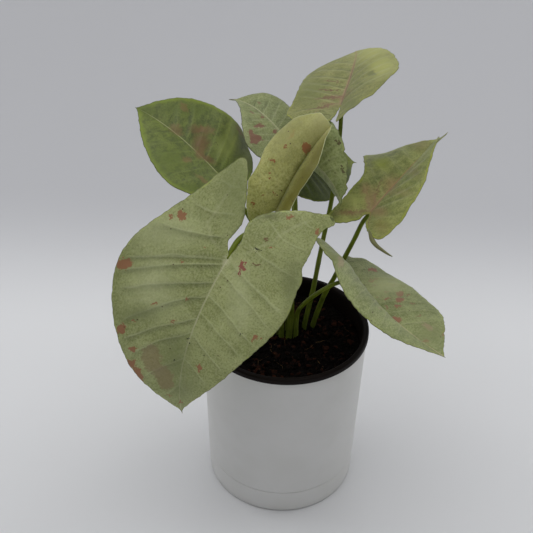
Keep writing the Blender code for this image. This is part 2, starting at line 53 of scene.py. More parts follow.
MM = 0.001
FULL_TURN = 2.0 * math.pi
ROOT = "root"

# The form of the leaves, as in the part's source
NOTCH = 2.0
VEIN_SHARE = 0.4
VEIN_START = 0.35
TIP_SLENDER = 0.22
SHOULDER_REACH = 0.58
BEND_POWER = 1.5
SPINE_STEPS = 48
CURVE_STEPS = 12
RIPPLES = 3.0
STALK_FOOT = 87.0
SOIL_TOP = 112.0

# Detail that only the looks have. OPEN_GAP: the spacing of side veins where there are none. CROWN: the place that
# the sheaths' wings face away from. SOIL_WAVES: length and height of the waves in the soil's top. PEAT, BARK and
# FIBRE: the soil's slots.
OPEN_GAP = 12.0
WING_SHARPNESS = 5
CROWN = (4.0, 8.0, 0.0)
MARGIN_WAVES = (3.1, 4.7, 7.3, 11.9)
TAIL_STEPS = 40
TAIL_SIDES = 12
TAIL_LENGTH = 22.0
SOIL_WAVES = ((26.0, 0.55), (15.0, 0.45), (9.0, 0.4), (5.5, 0.34), (3.4, 0.26), (2.2, 0.2))
PEAT, BARK, FIBRE = range(3)


def linear(code: str) -> tuple[float, float, float, float]:
    """Turns an sRGB colour into linear light.

    Args:
        code: The colour as #RRGGBB.

    Returns:
        Linear red, green and blue, with an alpha of one.
    """
    shares = [int(code[i:i + 2], 16) / 255.0 for i in (1, 3, 5)]
    return (*(c / 12.92 if c <= 0.04045 else ((c + 0.055) / 1.055) ** 2.4 for c in shares), 1.0)


class Graph:
    """The nodes of one material."""

    def __init__(self, name: str) -> None:
        """Makes the material with an empty tree.

        Args:
            name: The material's name.
        """
        self.material = bpy.data.materials.new(name)
        self.material.use_nodes = True
        self.tree = self.material.node_tree
        self.tree.nodes.clear()

    def add(self, kind: str, settings: dict | None = None, inputs: dict | None = None,
            out: int | str = 0) -> Socket:
        """Adds a node with its settings and links.

        Args:
            kind: The node's type without its ShaderNode prefix.
            settings: Properties of the node.
            inputs: Sockets by name or number, each with a value or with the socket that feeds it.
            out: Which output to give back.

        Returns:
            The chosen output socket.
        """
        node = self.tree.nodes.new("ShaderNode" + kind)
        for key, value in (settings or {}).items():
            setattr(node, key, value)
        for key, value in (inputs or {}).items():
            if isinstance(value, Socket):
                self.tree.links.new(value, node.inputs[key])
            else:
                node.inputs[key].default_value = value
        return node.outputs[out] if node.outputs else None

    def millimetres(self) -> Socket:
        """The place on the object, in millimetres."""
        place = self.add("TexCoord", {}, {}, "Object")
        return self.add("VectorMath", {"operation": "SCALE"}, {0: place, "Scale": 1 / MM})

    def finish(self, surface: Socket) -> Material:
        """Sends a shader to the output and gives back the material."""
        self.add("OutputMaterial", {}, {"Surface": surface})
        return self.material


COLOR = {"data_type": "RGBA"}
MULTIPLY = {"data_type": "RGBA", "blend_type": "MULTIPLY"}
SMOOTH = {"interpolation_type": "SMOOTHSTEP"}
TIMES = {"operation": "MULTIPLY"}


@dataclass(frozen=True)
class Half:
    """One side of a blade laid flat, measured from the stalk joint, as in the part's source."""

    width: float
    widest: float
    shoulder: float
    hip: float
    back: float
    out: float
    gap: float
    sinus: float
    fold: float
    cup: float
    drop: float


@dataclass(frozen=True)
class Leaf:
    """A blade and its stalk, as in the part's source."""

    name: str
    joint: tuple
    heading: float
    pitch: float
    droop: float
    roll: float
    twist: float
    sweep: float
    length: float
    drip: float
    opening: float
    wave: float
    left: Half
    right: Half
    foot: tuple = (0.0, 0.0)
    knots: tuple = ()
    foot_radius: float = 1.8
    neck_radius: float = 1.3
    tail: tuple = ()


FRONT = Leaf(
    name="front", joint=(-34.0, -42.5, 204.5), heading=-133.0, pitch=-48.0,
    droop=52.0, roll=-37.0, twist=4.0, sweep=-6.0, length=107.0, drip=3.5, opening=0.0, wave=1.0,
    left=Half(46.0, 15.0, 26.0, 37.0, 54.5, 36.0, 1.0, 2.0, 9.5, 23.0, 17.0),
    right=Half(54.5, 24.0, 32.0, 34.5, 46.0, 25.0, 3.5, 4.3, 14.0, 6.0, 27.0),
    foot=(2.8, 1.0),
    knots=((3.6, 0.0, 138.0), (0.8, -6.0, 172.5), (-9.0, -20.0, 199.0), (-20.0, -26.0, 212.0),
           (-27.5, -33.0, 212.0)),
    foot_radius=1.9, neck_radius=1.7,
)
LEFT = Leaf(
    name="left", joint=(-43.5, 15.0, 226.5), heading=156.0, pitch=39.5,
    droop=23.0, roll=10.0, twist=-31.0, sweep=4.0, length=65.0, drip=1.0, opening=2.0, wave=0.6,
    left=Half(48.0, 12.0, 27.0, 37.0, 16.0, 10.0, 4.0, 2.0, 17.0, 20.5, 9.5),
    right=Half(48.0, 12.5, 26.5, 38.0, 15.0, 14.0, 5.0, 2.0, 15.5, 23.5, 4.0),
    foot=(-5.2, 6.4),
    knots=((-8.0, 8.0, 145.0), (-16.0, 11.0, 180.0), (-30.0, 13.0, 208.0)),
)
REAR = Leaf(
    name="rear", joint=(-3.2, 50.0, 233.0), heading=139.0, pitch=34.0,
    droop=54.0, roll=5.0, twist=-10.0, sweep=1.5, length=54.0, drip=7.0, opening=6.0, wave=0.5,
    left=Half(31.5, 7.5, 10.5, 27.0, 14.0, 13.0, 5.0, 2.5, 13.0, 24.0, 10.0),
    right=Half(25.5, 8.0, 18.0, 27.0, 14.0, 13.0, 5.0, 2.5, 12.0, 31.0, 10.5),
    foot=(-2.2, 12.2),
    knots=((-3.0, 17.0, 145.0), (-3.0, 27.0, 185.0), (-2.0, 38.0, 212.0)),
    foot_radius=1.7, neck_radius=1.2,
)
FOLDED = Leaf(
    name="folded", joint=(-6.7, -3.9, 216.0), heading=36.5, pitch=59.5,
    droop=13.5, roll=20.5, twist=-3.0, sweep=-20.0, length=58.5, drip=1.0, opening=-24.5, wave=0.5,
    left=Half(24.5, 14.0, 30.5, 18.0, 13.0, 10.5, 4.5, 2.5, 61.0, 76.0, 7.0),
    right=Half(18.5, 12.5, 18.0, 22.5, 15.0, 11.0, 4.5, 2.5, 60.0, 26.5, 9.5),
    foot=(-2.0, 2.4),
    knots=((-3.2, 2.2, 140.0), (-6.0, 1.0, 175.0), (-7.5, -1.0, 203.0)),
    foot_radius=1.9, neck_radius=1.4,
)
TOP = Leaf(
    name="top", joint=(29.1, 36.0, 265.2), heading=75.5, pitch=15.0,
    droop=33.0, roll=-29.0, twist=9.0, sweep=15.0, length=80.0, drip=3.5, opening=-21.5, wave=0.8,
    left=Half(31.5, 9.0, 30.5, 32.5, 19.0, 7.5, 1.0, 0.8, 22.5, 10.0, 9.5),
    right=Half(37.5, 8.5, 20.0, 28.0, 19.0, 3.0, 1.0, 0.8, 28.5, 38.5, -1.0),
    foot=(12.9, 12.0),
    knots=((15.0, 12.5, 127.0), (17.6, 14.0, 142.7), (20.8, 17.0, 167.5), (23.3, 20.0, 185.1),
           (26.2, 24.0, 203.5), (28.2, 28.0, 228.4), (29.3, 32.0, 247.5)),
    neck_radius=1.25,
)
RIGHT = Leaf(
    name="right", joint=(49.3, 0.0, 213.0), heading=43.0, pitch=32.0,
    droop=18.5, roll=-15.0, twist=-34.0, sweep=4.0, length=73.5, drip=8.0, opening=4.5, wave=0.8,
    left=Half(26.0, 19.0, 58.0, 23.5, 19.0, 22.0, 4.0, 2.5, 18.0, 9.0, 10.0),
    right=Half(35.0, 16.5, 22.5, 31.5, 18.5, 28.0, 5.0, 3.0, 18.0, 18.0, -7.5),
    foot=(19.0, 14.5),
    knots=((21.7, 14.0, 126.2), (25.6, 13.0, 141.3), (30.6, 11.0, 155.2), (36.3, 8.0, 174.0),
           (41.2, 5.0, 190.2), (45.4, 3.0, 204.3)),
    neck_radius=1.35,
    tail=((46.6, -18.2, 212.3, 0.5), (47.3, -25.5, 213.0, 1.1), (48.1, -30.0, 212.5, 1.4),
          (50.4, -33.5, 211.1, 1.2), (53.7, -36.0, 209.8, 0.9), (56.8, -38.0, 208.7, 0.6),
          (59.3, -39.0, 207.7, 0.25)),
)
LOW = Leaf(
    name="low", joint=(40.0, -5.0, 166.0), heading=-50.5, pitch=-12.5,
    droop=-10.5, roll=-39.5, twist=40.5, sweep=8.0, length=79.5, drip=1.0, opening=-22.5, wave=0.5,
    left=Half(37.0, 11.0, 31.5, 30.5, 19.0, 13.5, 5.0, 3.0, 35.0, 25.0, 9.0),
    right=Half(37.0, 8.5, 24.0, 34.5, 22.0, 29.0, 9.0, 2.0, 49.0, 77.5, 3.5),
    foot=(7.3, 1.8),
    knots=((7.9, 1.2, 133.3), (12.4, -1.0, 143.3), (18.4, -4.0, 152.2), (27.2, -8.0, 162.7),
           (33.8, -9.0, 166.8)),
    foot_radius=1.5,
)
SHADED = Leaf(
    name="shaded", joint=(7.5, 17.5, 239.0), heading=-33.5, pitch=-15.5,
    droop=64.0, roll=78.0, twist=8.5, sweep=3.5, length=39.0, drip=1.5, opening=-1.0, wave=0.4,
    left=Half(26.5, 3.5, 11.0, 20.0, 10.5, 10.0, 4.0, 2.5, -10.0, 28.0, 10.0),
    right=Half(12.5, 3.5, 12.0, 12.0, 8.0, 7.0, 3.5, 2.5, -27.0, 38.0, 10.0),
    foot=(1.8, 9.2),
    knots=((2.5, 11.0, 140.0), (5.0, 14.5, 182.0), (3.9, 20.5, 206.0), (3.0, 29.0, 226.0),
           (11.5, 25.5, 237.0)),
    foot_radius=1.7, neck_radius=1.2,
)
INNER = Leaf(
    name="inner", joint=(6.3, 50.0, 213.4), heading=37.5, pitch=-3.5,
    droop=24.0, roll=25.0, twist=8.0, sweep=1.0, length=50.5, drip=4.0, opening=-2.0, wave=0.4,
    left=Half(27.0, 5.0, 18.0, 24.0, 16.0, 14.5, 6.0, 2.5, 10.5, 25.0, 10.0),
    right=Half(28.0, 4.5, 17.0, 23.5, 16.5, 15.0, 6.0, 2.5, 8.0, 25.5, 10.5),
    foot=(4.2, 14.4),
    knots=((3.5, 19.0, 140.0), (3.0, 31.0, 175.0), (3.5, 42.0, 198.0)),
    foot_radius=1.6, neck_radius=1.1,
)
LEAVES = (FRONT, LEFT, REAR, FOLDED, TOP, RIGHT, LOW, SHADED, INNER)


class Edge(Enum):
    """How sharply a marking ends: the share of its own size over which it fades."""

    CRISP = 0.12
    SOFT = 0.45
    FAINT = 0.9


@dataclass(frozen=True)
class Marking:
    """Patches of one colour on a blade.

    color: sRGB. strength: how much of the ground it hides. places: (ahead, aside, half length, half width,
    turn) for each patch, measured on the blade laid flat, where aside is positive on the left half. A patch may
    leave out its turn.
    """

    color: str
    edge: Edge
    strength: float
    places: tuple


@dataclass(frozen=True)
class BladeFinish:
    """Living syngonium leaf: matt cuticle over uneven green, pale veins and freckles of red.

    The waxy cuticle gives a wide soft sheen with no mirror in it. The cells without green give the sage haze and
    the pink. All colours are sRGB. lime_width: the yellower band along the margin. vein_gain: how pale the side
    veins are. haze_gain: how much of the ground the pale cells take. rib_width: the midrib's width, one as usual.
    mottle: contrast of the ground's unevenness. speck_step: how far apart dark specks may lie. The last four are the
    dye of the mottling, the dye of single cells, the painted shade on the slopes tipward of the side veins, and the
    brownish tint with painted shade in the crease along the midrib.
    """

    face: str
    deep: str
    haze: str
    vein: str
    rib: str
    lime: str
    under: str
    under_vein: str
    lime_width: float
    vein_gain: float
    haze_gain: float
    speck_gain: float
    markings: tuple = ()
    rim: str = "#5A5B3A"
    speck: str = "#4A2E20"
    roughness: float = 0.52
    under_roughness: float = 0.6
    rib_width: float = 1.0
    mottle: float = 0.45
    speck_step: float = 7.0
    mottle_dye: str = "#B2B890"
    cell_dye: str = "#DDE0CF"
    slope_shade: str = "#CCD0BC"
    seam_tint_and_shade: str = "#8C7C62"


@dataclass(frozen=True)
class Veins:
    """Side veins of one half, as shares of the way from the tip down: where each leaves the rib and where it ends."""

    starts: tuple = (0.26, 0.44, 0.58, 0.71, 0.83, 0.93)
    ends: tuple = (0.19, 0.37, 0.52, 0.65, 0.78, 0.90)

    def count(self, down: np.ndarray, lean: np.ndarray) -> np.ndarray:
        """How many side veins lie above each place.

        Args:
            down: Share of the way from the tip to the joint, one for each row.
            lean: Nought at the rib and one at the margin, one for each column.

        Returns:
            The counts as rows and columns.
        """
        starts = np.array([0.0, *self.starts, 1.0])
        ends = np.array([0.0, *self.ends, 1.0])
        number = np.arange(len(starts), dtype=float)
        return np.stack([np.interp(down, starts + share * (ends - starts), number) for share in lean], -1)


@dataclass(frozen=True)
class Relief:
    """Quilting between the side veins, for each half.

    lobe: side veins of each lobe. ragged: the margin's bumps. lobe_calm: how much flatter the lobes are.
    """

    left: float = 0.45
    right: float = 0.45
    lobe: float = 4.0
    ragged: float = 0.12
    veins_left: Veins = Veins()
    veins_right: Veins = Veins()
    lobe_calm: float = 0.3


@dataclass(frozen=True)
class Nudge:
    """A place where the margin departs from its plain curve.

    side: one for the left half, minus one for the right. share: how far along from tip to notch. reach: half the
    length of the place. offset: how far it stands out.
    """

    side: int
    share: float
    reach: float
    offset: float


@dataclass(frozen=True)
class Mesh:
    """Points in millimetres, faces, a value of every named attribute for every point, and a slot for every face."""

    points: np.ndarray
    faces: list
    values: dict
    slots: list


def linked(name: str, data: bpy.types.ID) -> bpy.types.Object:
    """A new object with this data, put into the scene.

    Args:
        name: Its name.
        data: Its mesh, camera or light.

    Returns:
        The object.
    """
    item = bpy.data.objects.new(name, data)
    bpy.context.scene.collection.objects.link(item)
    return item


def make_object(name: str, mesh: Mesh, materials: list) -> bpy.types.Object:
    """Makes a piece of the object from a mesh.

    Args:
        name: The piece's name.
        mesh: Its points, faces, attributes and slots.
        materials: One material for each slot.

    Returns:
        The new object, linked to the scene and smooth shaded.
    """
    data = bpy.data.meshes.new(name)
    data.from_pydata((mesh.points * MM).tolist(), [], mesh.faces)
    for key, value in mesh.values.items():
        flat = value.ndim == 1
        layer = data.attributes.new(key, "FLOAT" if flat else "FLOAT_VECTOR", "POINT")
        layer.data.foreach_set("value" if flat else "vector", value.astype(np.float32).ravel())
    for material in materials:
        data.materials.append(material)
    if mesh.slots:
        data.polygons.foreach_set("material_index", mesh.slots)
    data.polygons.foreach_set("use_smooth", [True] * len(data.polygons))
    data.update()
    return linked(name, data)


def hand_over(piece: bpy.types.Object, node: str) -> None:
    """Puts a piece in the place of a node of the frame.

    Args:
        piece: The finer piece.
        node: The node that it stands for.
    """
    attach(piece, ROOT)
    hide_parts(node)
    log.info("%s stands for %s with %d faces", piece.name, node, len(piece.data.polygons))


def smooth_line(points: list | tuple | np.ndarray, steps: int = CURVE_STEPS) -> np.ndarray:
    """A centripetal Catmull-Rom line through points.

    Args:
        points: The points, in any number of dimensions.
        steps: Pieces of each span.

    Returns:
        The points along the line.
    """
    knots = np.array(points, float)
    ends = np.vstack([2 * knots[0] - knots[1], knots, 2 * knots[-1] - knots[-2]])
    line = []
    for i in range(1, len(ends) - 2):
        p0, p1, p2, p3 = ends[i - 1:i + 3]
        t1 = np.linalg.norm(p1 - p0) ** 0.5
        t2 = t1 + np.linalg.norm(p2 - p1) ** 0.5
        t3 = t2 + np.linalg.norm(p3 - p2) ** 0.5
        t = np.linspace(t1, t2, steps, endpoint=False)[:, None]
        a1 = (t1 - t) / t1 * p0 + t / t1 * p1
        a2 = (t2 - t) / (t2 - t1) * p1 + (t - t1) / (t2 - t1) * p2
        a3 = (t3 - t) / (t3 - t2) * p2 + (t - t2) / (t3 - t2) * p3
        b1 = (t2 - t) / t2 * a1 + t / t2 * a2
        b2 = (t3 - t) / (t3 - t1) * a2 + (t - t1) / (t3 - t1) * a3
        line.append((t2 - t) / (t2 - t1) * b1 + (t - t1) / (t2 - t1) * b2)
    line.append(knots[-1:])
    return np.vstack(line)


def reached(line: np.ndarray) -> np.ndarray:
    """How far along a line each of its points lies."""
    return np.concatenate([[0.0], np.cumsum(np.linalg.norm(np.diff(line, axis=0), axis=1))])


def directions(line: np.ndarray) -> np.ndarray:
    """The unit direction of a line at each of its points."""
    ahead = np.gradient(line, axis=0)
    return ahead / np.linalg.norm(ahead, axis=1)[:, None]


def resample(line: np.ndarray, count: int) -> np.ndarray:
    """The line as count equal steps.

    Args:
        line: The points along it.
        count: How many steps.

    Returns:
        The new points.
    """
    far = reached(line)
    wanted = np.linspace(0.0, far[-1], count + 1)
    return np.stack([np.interp(wanted, far, line[:, k]) for k in range(line.shape[1])], -1)


def ease(value: np.ndarray, low: float, high: float) -> np.ndarray:
    """A smooth step from nought at low to one at high."""
    share = np.clip((value - low) / (high - low), 0.0, 1.0)
    return share * share * (3.0 - 2.0 * share)


def distance_to(points: np.ndarray, line: np.ndarray) -> np.ndarray:
    """Distance of flat points from a broken line.

    Args:
        points: Flat points, one a row.
        line: The corners of the line.

    Returns:
        The distance of every point.
    """
    nearest = np.full(len(points), np.inf)
    for start, end in zip(line, line[1:]):
        along = end - start
        size = along @ along
        if size < 1e-12:
            continue
        share = np.clip((points - start) @ along / size, 0.0, 1.0)
        nearest = np.minimum(nearest, np.linalg.norm(points - start - share[:, None] * along, axis=1))
    return nearest


def bands(rings: int, sides: int) -> list:
    """The faces between rings of points that follow one another, where each ring has sides points."""
    pairs = [(i * sides + k, i * sides + (k + 1) % sides) for i in range(rings - 1) for k in range(sides)]
    return [(a, b, b + sides, a + sides) for a, b in pairs]


def capped(rings: int, sides: int) -> list:
    """The faces of bands and of the two ends."""
    last = (rings - 1) * sides
    return [tuple(reversed(range(sides))), *bands(rings, sides), tuple(range(last, last + sides))]


def joined(parts: list) -> Mesh:
    """One mesh of loose parts, each given as its points, its faces and their slot.

    Args:
        parts: (points, faces, slot) of each part.

    Returns:
        The mesh.
    """
    points, faces, slots = [], [], []
    start = 0
    for places, part, slot in parts:
        points.append(places)
        faces += [tuple(i + start for i in face) for face in part]
        slots += [slot] * len(part)
        start += len(places)
    return Mesh(np.vstack(points), faces, {}, slots)


def tube(line: np.ndarray, radii: np.ndarray, sides: int, ridge: np.ndarray | None = None,
         toward: np.ndarray | None = None) -> tuple[np.ndarray, list]:
    """A round bar along a line, closed at both ends.

    Args:
        line: The centre line.
        radii: The radius at each of its points.
        sides: Corners of the section.
        ridge: How far a wing stands out of the section at each point, if any.
        toward: The point that the wings face away from.

    Returns:
        The points and the faces.
    """
    upright = np.array([1.0, 0.0, 0.0])
    points = []
    for i, (place, along, radius) in enumerate(zip(line, directions(line), radii)):
        upright = upright - along * (upright @ along)
        upright /= np.linalg.norm(upright)
        sideways = np.cross(along, upright)
        for k in range(sides):
            angle = FULL_TURN * k / sides
            way = math.cos(angle) * upright + math.sin(angle) * sideways
            reach = radius
            if ridge is not None and ridge[i] > 0.0:
                outward = place - toward
                outward[2] = 0.0
                outward /= max(1e-6, np.linalg.norm(outward))
                across = np.cross(outward, along)
                reach += ridge[i] * abs(way @ across) ** WING_SHARPNESS
            points.append(place + reach * way)
    return np.array(points), capped(len(line), sides)


def midrib_frame(leaf: Leaf, half: Half, ahead: np.ndarray) -> tuple[np.ndarray, np.ndarray, np.ndarray]:
    """Places on the midrib line.

    Args:
        leaf: The leaf.
        half: The half whose lobe the line bends with behind the joint.
        ahead: Distances from the joint.

    Returns:
        The points, the leftward directions and the blade's normals.
    """
    ahead = np.asarray(ahead, float)
    before = np.linspace(0.0, leaf.length, SPINE_STEPS)
    behind = np.linspace(0.0, half.back * 1.1 + NOTCH + 1.0, SPINE_STEPS)

    def angles(distance: np.ndarray) -> tuple[np.ndarray, np.ndarray]:
        """Pitch and heading of the midrib at a distance.

        Args:
            distance: Millimetres from the joint.

        Returns:
            Both angles in radians.
        """
        fore = np.clip(distance / leaf.length, 0.0, None) ** BEND_POWER
        aft = np.clip(-distance / half.back, 0.0, None) ** BEND_POWER
        pitch = np.radians(leaf.pitch - leaf.droop * fore + half.drop * aft)
        return pitch, np.radians(leaf.heading + leaf.sweep * fore)

    def direction(distance: np.ndarray) -> np.ndarray:
        """Direction of the midrib at a distance."""
        pitch, heading = angles(distance)
        return np.stack([np.cos(pitch) * np.cos(heading), np.cos(pitch) * np.sin(heading), np.sin(pitch)], -1)

    def path(distances: np.ndarray) -> np.ndarray:
        """The midrib from the joint on.

        Args:
            distances: Millimetres from the joint, in order.

        Returns:
            Its points, counted from the joint.
        """
        along = direction(distances)
        steps = (along[1:] + along[:-1]) / 2.0 * np.diff(distances)[:, None]
        return np.vstack([np.zeros(3), np.cumsum(steps, 0)])

    fore_path = path(before)
    aft_path = path(-behind)
    fore = np.stack([np.interp(ahead, before, fore_path[:, k]) for k in range(3)], -1)
    aft = np.stack([np.interp(-ahead, behind, aft_path[:, k]) for k in range(3)], -1)
    place = np.where((ahead >= 0.0)[..., None], fore, aft) + np.array(leaf.joint)
    along = direction(ahead)
    heading = angles(ahead)[1]
    level = np.stack([-np.sin(heading), np.cos(heading), np.zeros_like(heading)], -1)
    roll = np.radians(leaf.roll + leaf.twist * np.clip(ahead / leaf.length, 0.0, 1.0))[..., None]
    aside = np.cos(roll) * level + np.sin(roll) * np.cross(along, level)
    return place, aside, np.cross(along, aside)


def lifted(leaf: Leaf, flat: np.ndarray, side: int) -> np.ndarray:
    """Flat points of one half placed in space.

    Args:
        leaf: The leaf.
        flat: Points as (ahead, out) with out at least nought.
        side: One for the left half and minus one for the right.

    Returns:
        The points in space.
    """
    half = leaf.left if side > 0 else leaf.right
    ahead, out = np.asarray(flat, float).T
    place, aside, normal = midrib_frame(leaf, half, ahead)
    fold = np.radians(half.fold + leaf.opening * np.clip(ahead / leaf.length, 0.0, 1.0))
    bend = math.radians(half.cup) / half.width
    across = (np.sin(fold) - np.sin(fold - bend * out)) / bend
    rise = (np.cos(fold - bend * out) - np.cos(fold)) / bend
    wave = leaf.wave * (out / half.width) ** 2
    rise = rise + wave * np.sin(2.0 * RIPPLES * np.arctan2(out, ahead) + side)
    return place + side * across[:, None] * aside + rise[:, None] * normal


@dataclass(frozen=True)
class LeafBlade:
    """One blade as a thin closed skin with quilting, a midrib keel and a fine margin.

    fineness: how many rows a millimetre of midrib gets. nudges: where the margin leaves its plain curve. body and
    edge: half thickness in the middle and at the margin. keel and keel_width: the midrib's height and width below.
    crowding: how far the columns crowd toward the rib. lobe_rise and lobe_reach: how the lobe's veins are spaced, at
    its vein and at its margin. least_rows: rows of the smallest lobe. inner_columns: columns inside the lobe's vein.
    """

    leaf: Leaf
    finish: BladeFinish
    relief: Relief
    slot: str
    fineness: float = 1.0
    nudges: tuple = ()
    body: float = 0.26
    edge: float = 0.13
    keel: float = 0.75
    keel_width: float = 0.8
    crowding: float = 1.35
    lobe_rise: float = 0.85
    lobe_reach: float = 1.25
    least_rows: int = 20
    inner_columns: int = 8

    def counts(self) -> tuple[int, int, int, int]:
        """Rows along the midrib, rows of a lobe, steps outward and steps inward.

        Returns:
            The four counts.
        """
        rib = int(self.leaf.length * self.fineness)
        widest = max(self.leaf.left.width, self.leaf.right.width)
        back = max(self.leaf.left.back, self.leaf.right.back)
        lobe = max(self.least_rows, int((back + 0.4 * widest) * self.fineness))
        return rib, lobe, int(widest * self.fineness * 0.9), self.inner_columns

    def margin(self, half: Half, chance: np.random.Generator) -> list[np.ndarray]:
        """The edge of one half laid flat.

        Args:
            half: The half.
            chance: The leaf's own random draws.

        Returns:
            Three lines: tip to widest point, on to the lobe's tip, and back along the lobe to the notch.
        """
        leaf = self.leaf
        reach = leaf.length - half.widest
        front = [
            (leaf.length, 0.0),
            (leaf.length - leaf.drip, TIP_SLENDER * leaf.drip),
            (half.widest + SHOULDER_REACH * reach, half.shoulder),
            (half.widest, half.width),
        ]
        rear = [(-0.5 * half.back, half.hip), (-half.back, half.out)]
        inner = [(-0.5 * half.back, half.gap), (-0.15 * half.back - NOTCH, half.sinus), (-NOTCH, 0.0)]
        line = self.nudged(smooth_line(front + rear + inner), 1 if half is leaf.left else -1)
        widest = (len(front) - 1) * CURVE_STEPS
        lobe_tip = widest + len(rear) * CURVE_STEPS
        rib, lobe, _, _ = self.counts()
        parts = [resample(line[:widest + 1], rib), resample(line[widest:lobe_tip + 1], lobe),
                 resample(line[lobe_tip:], lobe)]
        return [self.roughened(part, chance) for part in parts]

    def nudged(self, line: np.ndarray, side: int) -> np.ndarray:
        """The margin of one half with its own bulges and dents.

        Args:
            line: The plain margin from tip to notch.
            side: One for the left half and minus one for the right.

        Returns:
            The margin with the half's nudges.
        """
        far = reached(line)
        share = far / far[-1]
        along = directions(line)
        outward = np.stack([along[:, 1], -along[:, 0]], -1)
        fixed = np.clip(40.0 * share * (1.0 - share), 0.0, 1.0)
        for nudge in self.nudges:
            if nudge.side == side:
                bump = np.exp(-((far - nudge.share * far[-1]) / nudge.reach) ** 2)
                line = line + (nudge.offset * bump * fixed)[:, None] * outward
        return line

    def roughened(self, line: np.ndarray, chance: np.random.Generator) -> np.ndarray:
        """The line with small bumps that die away at its ends.

        Args:
            line: Evenly spaced points.
            chance: The leaf's own random draws.

        Returns:
            The uneven line.
        """
        along = directions(line)
        share = np.linspace(0.0, 1.0, len(line))
        size = np.linalg.norm(np.diff(line, axis=0), axis=1).sum()
        bumps = np.zeros(len(line))
        for wavelength in MARGIN_WAVES:
            phase = chance.uniform(0.0, FULL_TURN)
            bumps += np.sin(FULL_TURN * share * size / wavelength + phase) * (wavelength / MARGIN_WAVES[-1]) ** 0.6
        bumps *= self.relief.ragged * np.clip(12.0 * share * (1.0 - share), 0.0, 1.0)
        return line + bumps[:, None] * np.stack([-along[:, 1], along[:, 0]], -1)

    def half_grids(self, half: Half, chance: np.random.Generator) -> tuple[list, list]:
        """Flat grids of one half, with the vein count at every point.

        Args:
            half: The half.
            chance: The leaf's own random draws.

        Returns:
            The grids of the body and of the lobe as (flat points, vein counts), and the margin and lobe vein lines.
        """
        rib, lobe, outer, inner = self.counts()
        front, rear, back = self.margin(half, chance)
        steps = np.linspace(0.0, 1.0, outer + 1) ** self.crowding
        lean = steps ** 1.5
        rows = np.zeros((rib + 1, outer + 1, 2))
        ahead = np.linspace(self.leaf.length, 0.0, rib + 1)
        ribs = np.stack([ahead, np.zeros_like(ahead)], -1)
        rows[:] = ribs[:, None] + steps[None, :, None] * (front - ribs)[:, None]
        down = np.linspace(0.0, 1.0, rib + 1)
        side_veins = self.relief.veins_left if half is self.leaf.left else self.relief.veins_right
        veins = side_veins.count(down, lean)
        laterals = len(side_veins.starts) + 1
        inside = back[::-1]
        lobe_rows = np.zeros((lobe + 1, inner + outer + 1, 2))
        lobe_veins = np.zeros((lobe + 1, inner + outer + 1))
        line = []
        inward = np.linspace(0.0, 1.0, inner + 1)[:-1, None]
        power = self.lobe_rise + (self.lobe_reach - self.lobe_rise) * lean
        for i in range(lobe + 1):
            along = i / lobe
            share = VEIN_SHARE * min(1.0, along / VEIN_START)
            vein = inside[i] + share * (rear[i] - inside[i]) if i else np.zeros(2)
            line.append(vein)
            lobe_rows[i] = np.vstack([inside[i] + inward * (vein - inside[i]),
                                      vein + steps[:, None] * (rear[i] - vein)])
            outward = laterals + self.relief.lobe * along ** power
            lobe_veins[i] = np.concatenate([np.full(inner, outward[0]), outward])
        edge = np.vstack([front, rear[1:], back[1:]])
        return [(rows, veins), (lobe_rows, lobe_veins)], [edge, np.array(line)]

    def spacing(self, grid: np.ndarray, veins: np.ndarray) -> np.ndarray:
        """Millimetres from one side vein to the next at every point of a grid.

        Args:
            grid: Flat points.
            veins: The vein count at each.

        Returns:
            The spacings.
        """
        di, dj = np.gradient(grid, axis=(0, 1))
        vi, vj = np.gradient(veins)
        turn = di[..., 0] * dj[..., 1] - di[..., 1] * dj[..., 0]
        turn = np.where(np.abs(turn) < 1e-3, 1e-3, turn)
        gx = (vi * dj[..., 1] - vj * di[..., 1]) / turn
        gy = (vj * di[..., 0] - vi * dj[..., 0]) / turn
        return np.clip(1.0 / np.maximum(np.hypot(gx, gy), 1e-4), 0.6, 30.0)

    def sheet(self) -> tuple[np.ndarray, list, dict]:
        """The middle of the blade as one sheet.

        Returns:
            Points in space, faces that look up, and the attributes of every point.
        """
        rib, lobe, outer, inner = self.counts()
        chance = np.random.default_rng(sum(map(ord, self.leaf.name)))
        to_notch = np.linspace(0.0, -NOTCH, inner + 1)[1:]
        ahead = np.append(np.linspace(self.leaf.length, 0.0, rib + 1), to_notch)
        flat = [np.stack([ahead, np.zeros_like(ahead)], -1)]
        down = np.append(np.linspace(0.0, 1.0, rib + 1), np.ones(inner))
        veins = [self.relief.veins_left.count(down, np.zeros(1))[:, 0]]
        spaces = [np.full(len(ahead), OPEN_GAP)]
        space = [lifted(self.leaf, flat[0], 1)]
        lobe_far = [np.abs(ahead)]
        edge_far = [np.clip(self.leaf.length - ahead, 0.0, ahead + NOTCH)]
        gain = [np.zeros(len(ahead))]
        count = len(ahead)
        faces = []
        for side, half in ((1, self.leaf.left), (-1, self.leaf.right)):
            (body, lobe_part), (edge, lobe_line) = self.half_grids(half, chance)
            amplitude = self.relief.left if side > 0 else self.relief.right
            numbers = np.zeros((rib + 1, outer + 1), int)
            numbers[:, 0] = np.arange(rib + 1)
            numbers[0, :] = 0
            numbers[1:, 1:] = count + np.arange(rib * outer).reshape(rib, outer)
            lobe_numbers = np.zeros((lobe + 1, inner + outer + 1), int)
            lobe_numbers[0] = np.concatenate([np.arange(rib + inner, rib, -1), numbers[-1]])
            start = count + rib * outer
            lobe_numbers[1:-1] = start + np.arange((lobe - 1) * (inner + outer + 1)).reshape(lobe - 1, -1)
            lobe_numbers[-1] = start + (lobe - 1) * (inner + outer + 1)
            count = lobe_numbers[-1, -1] + 1
            picked = []
            for (grid, values), cut in ((body, np.s_[1:, 1:]), (lobe_part, np.s_[1:-1])):
                gaps = self.spacing(grid, values)
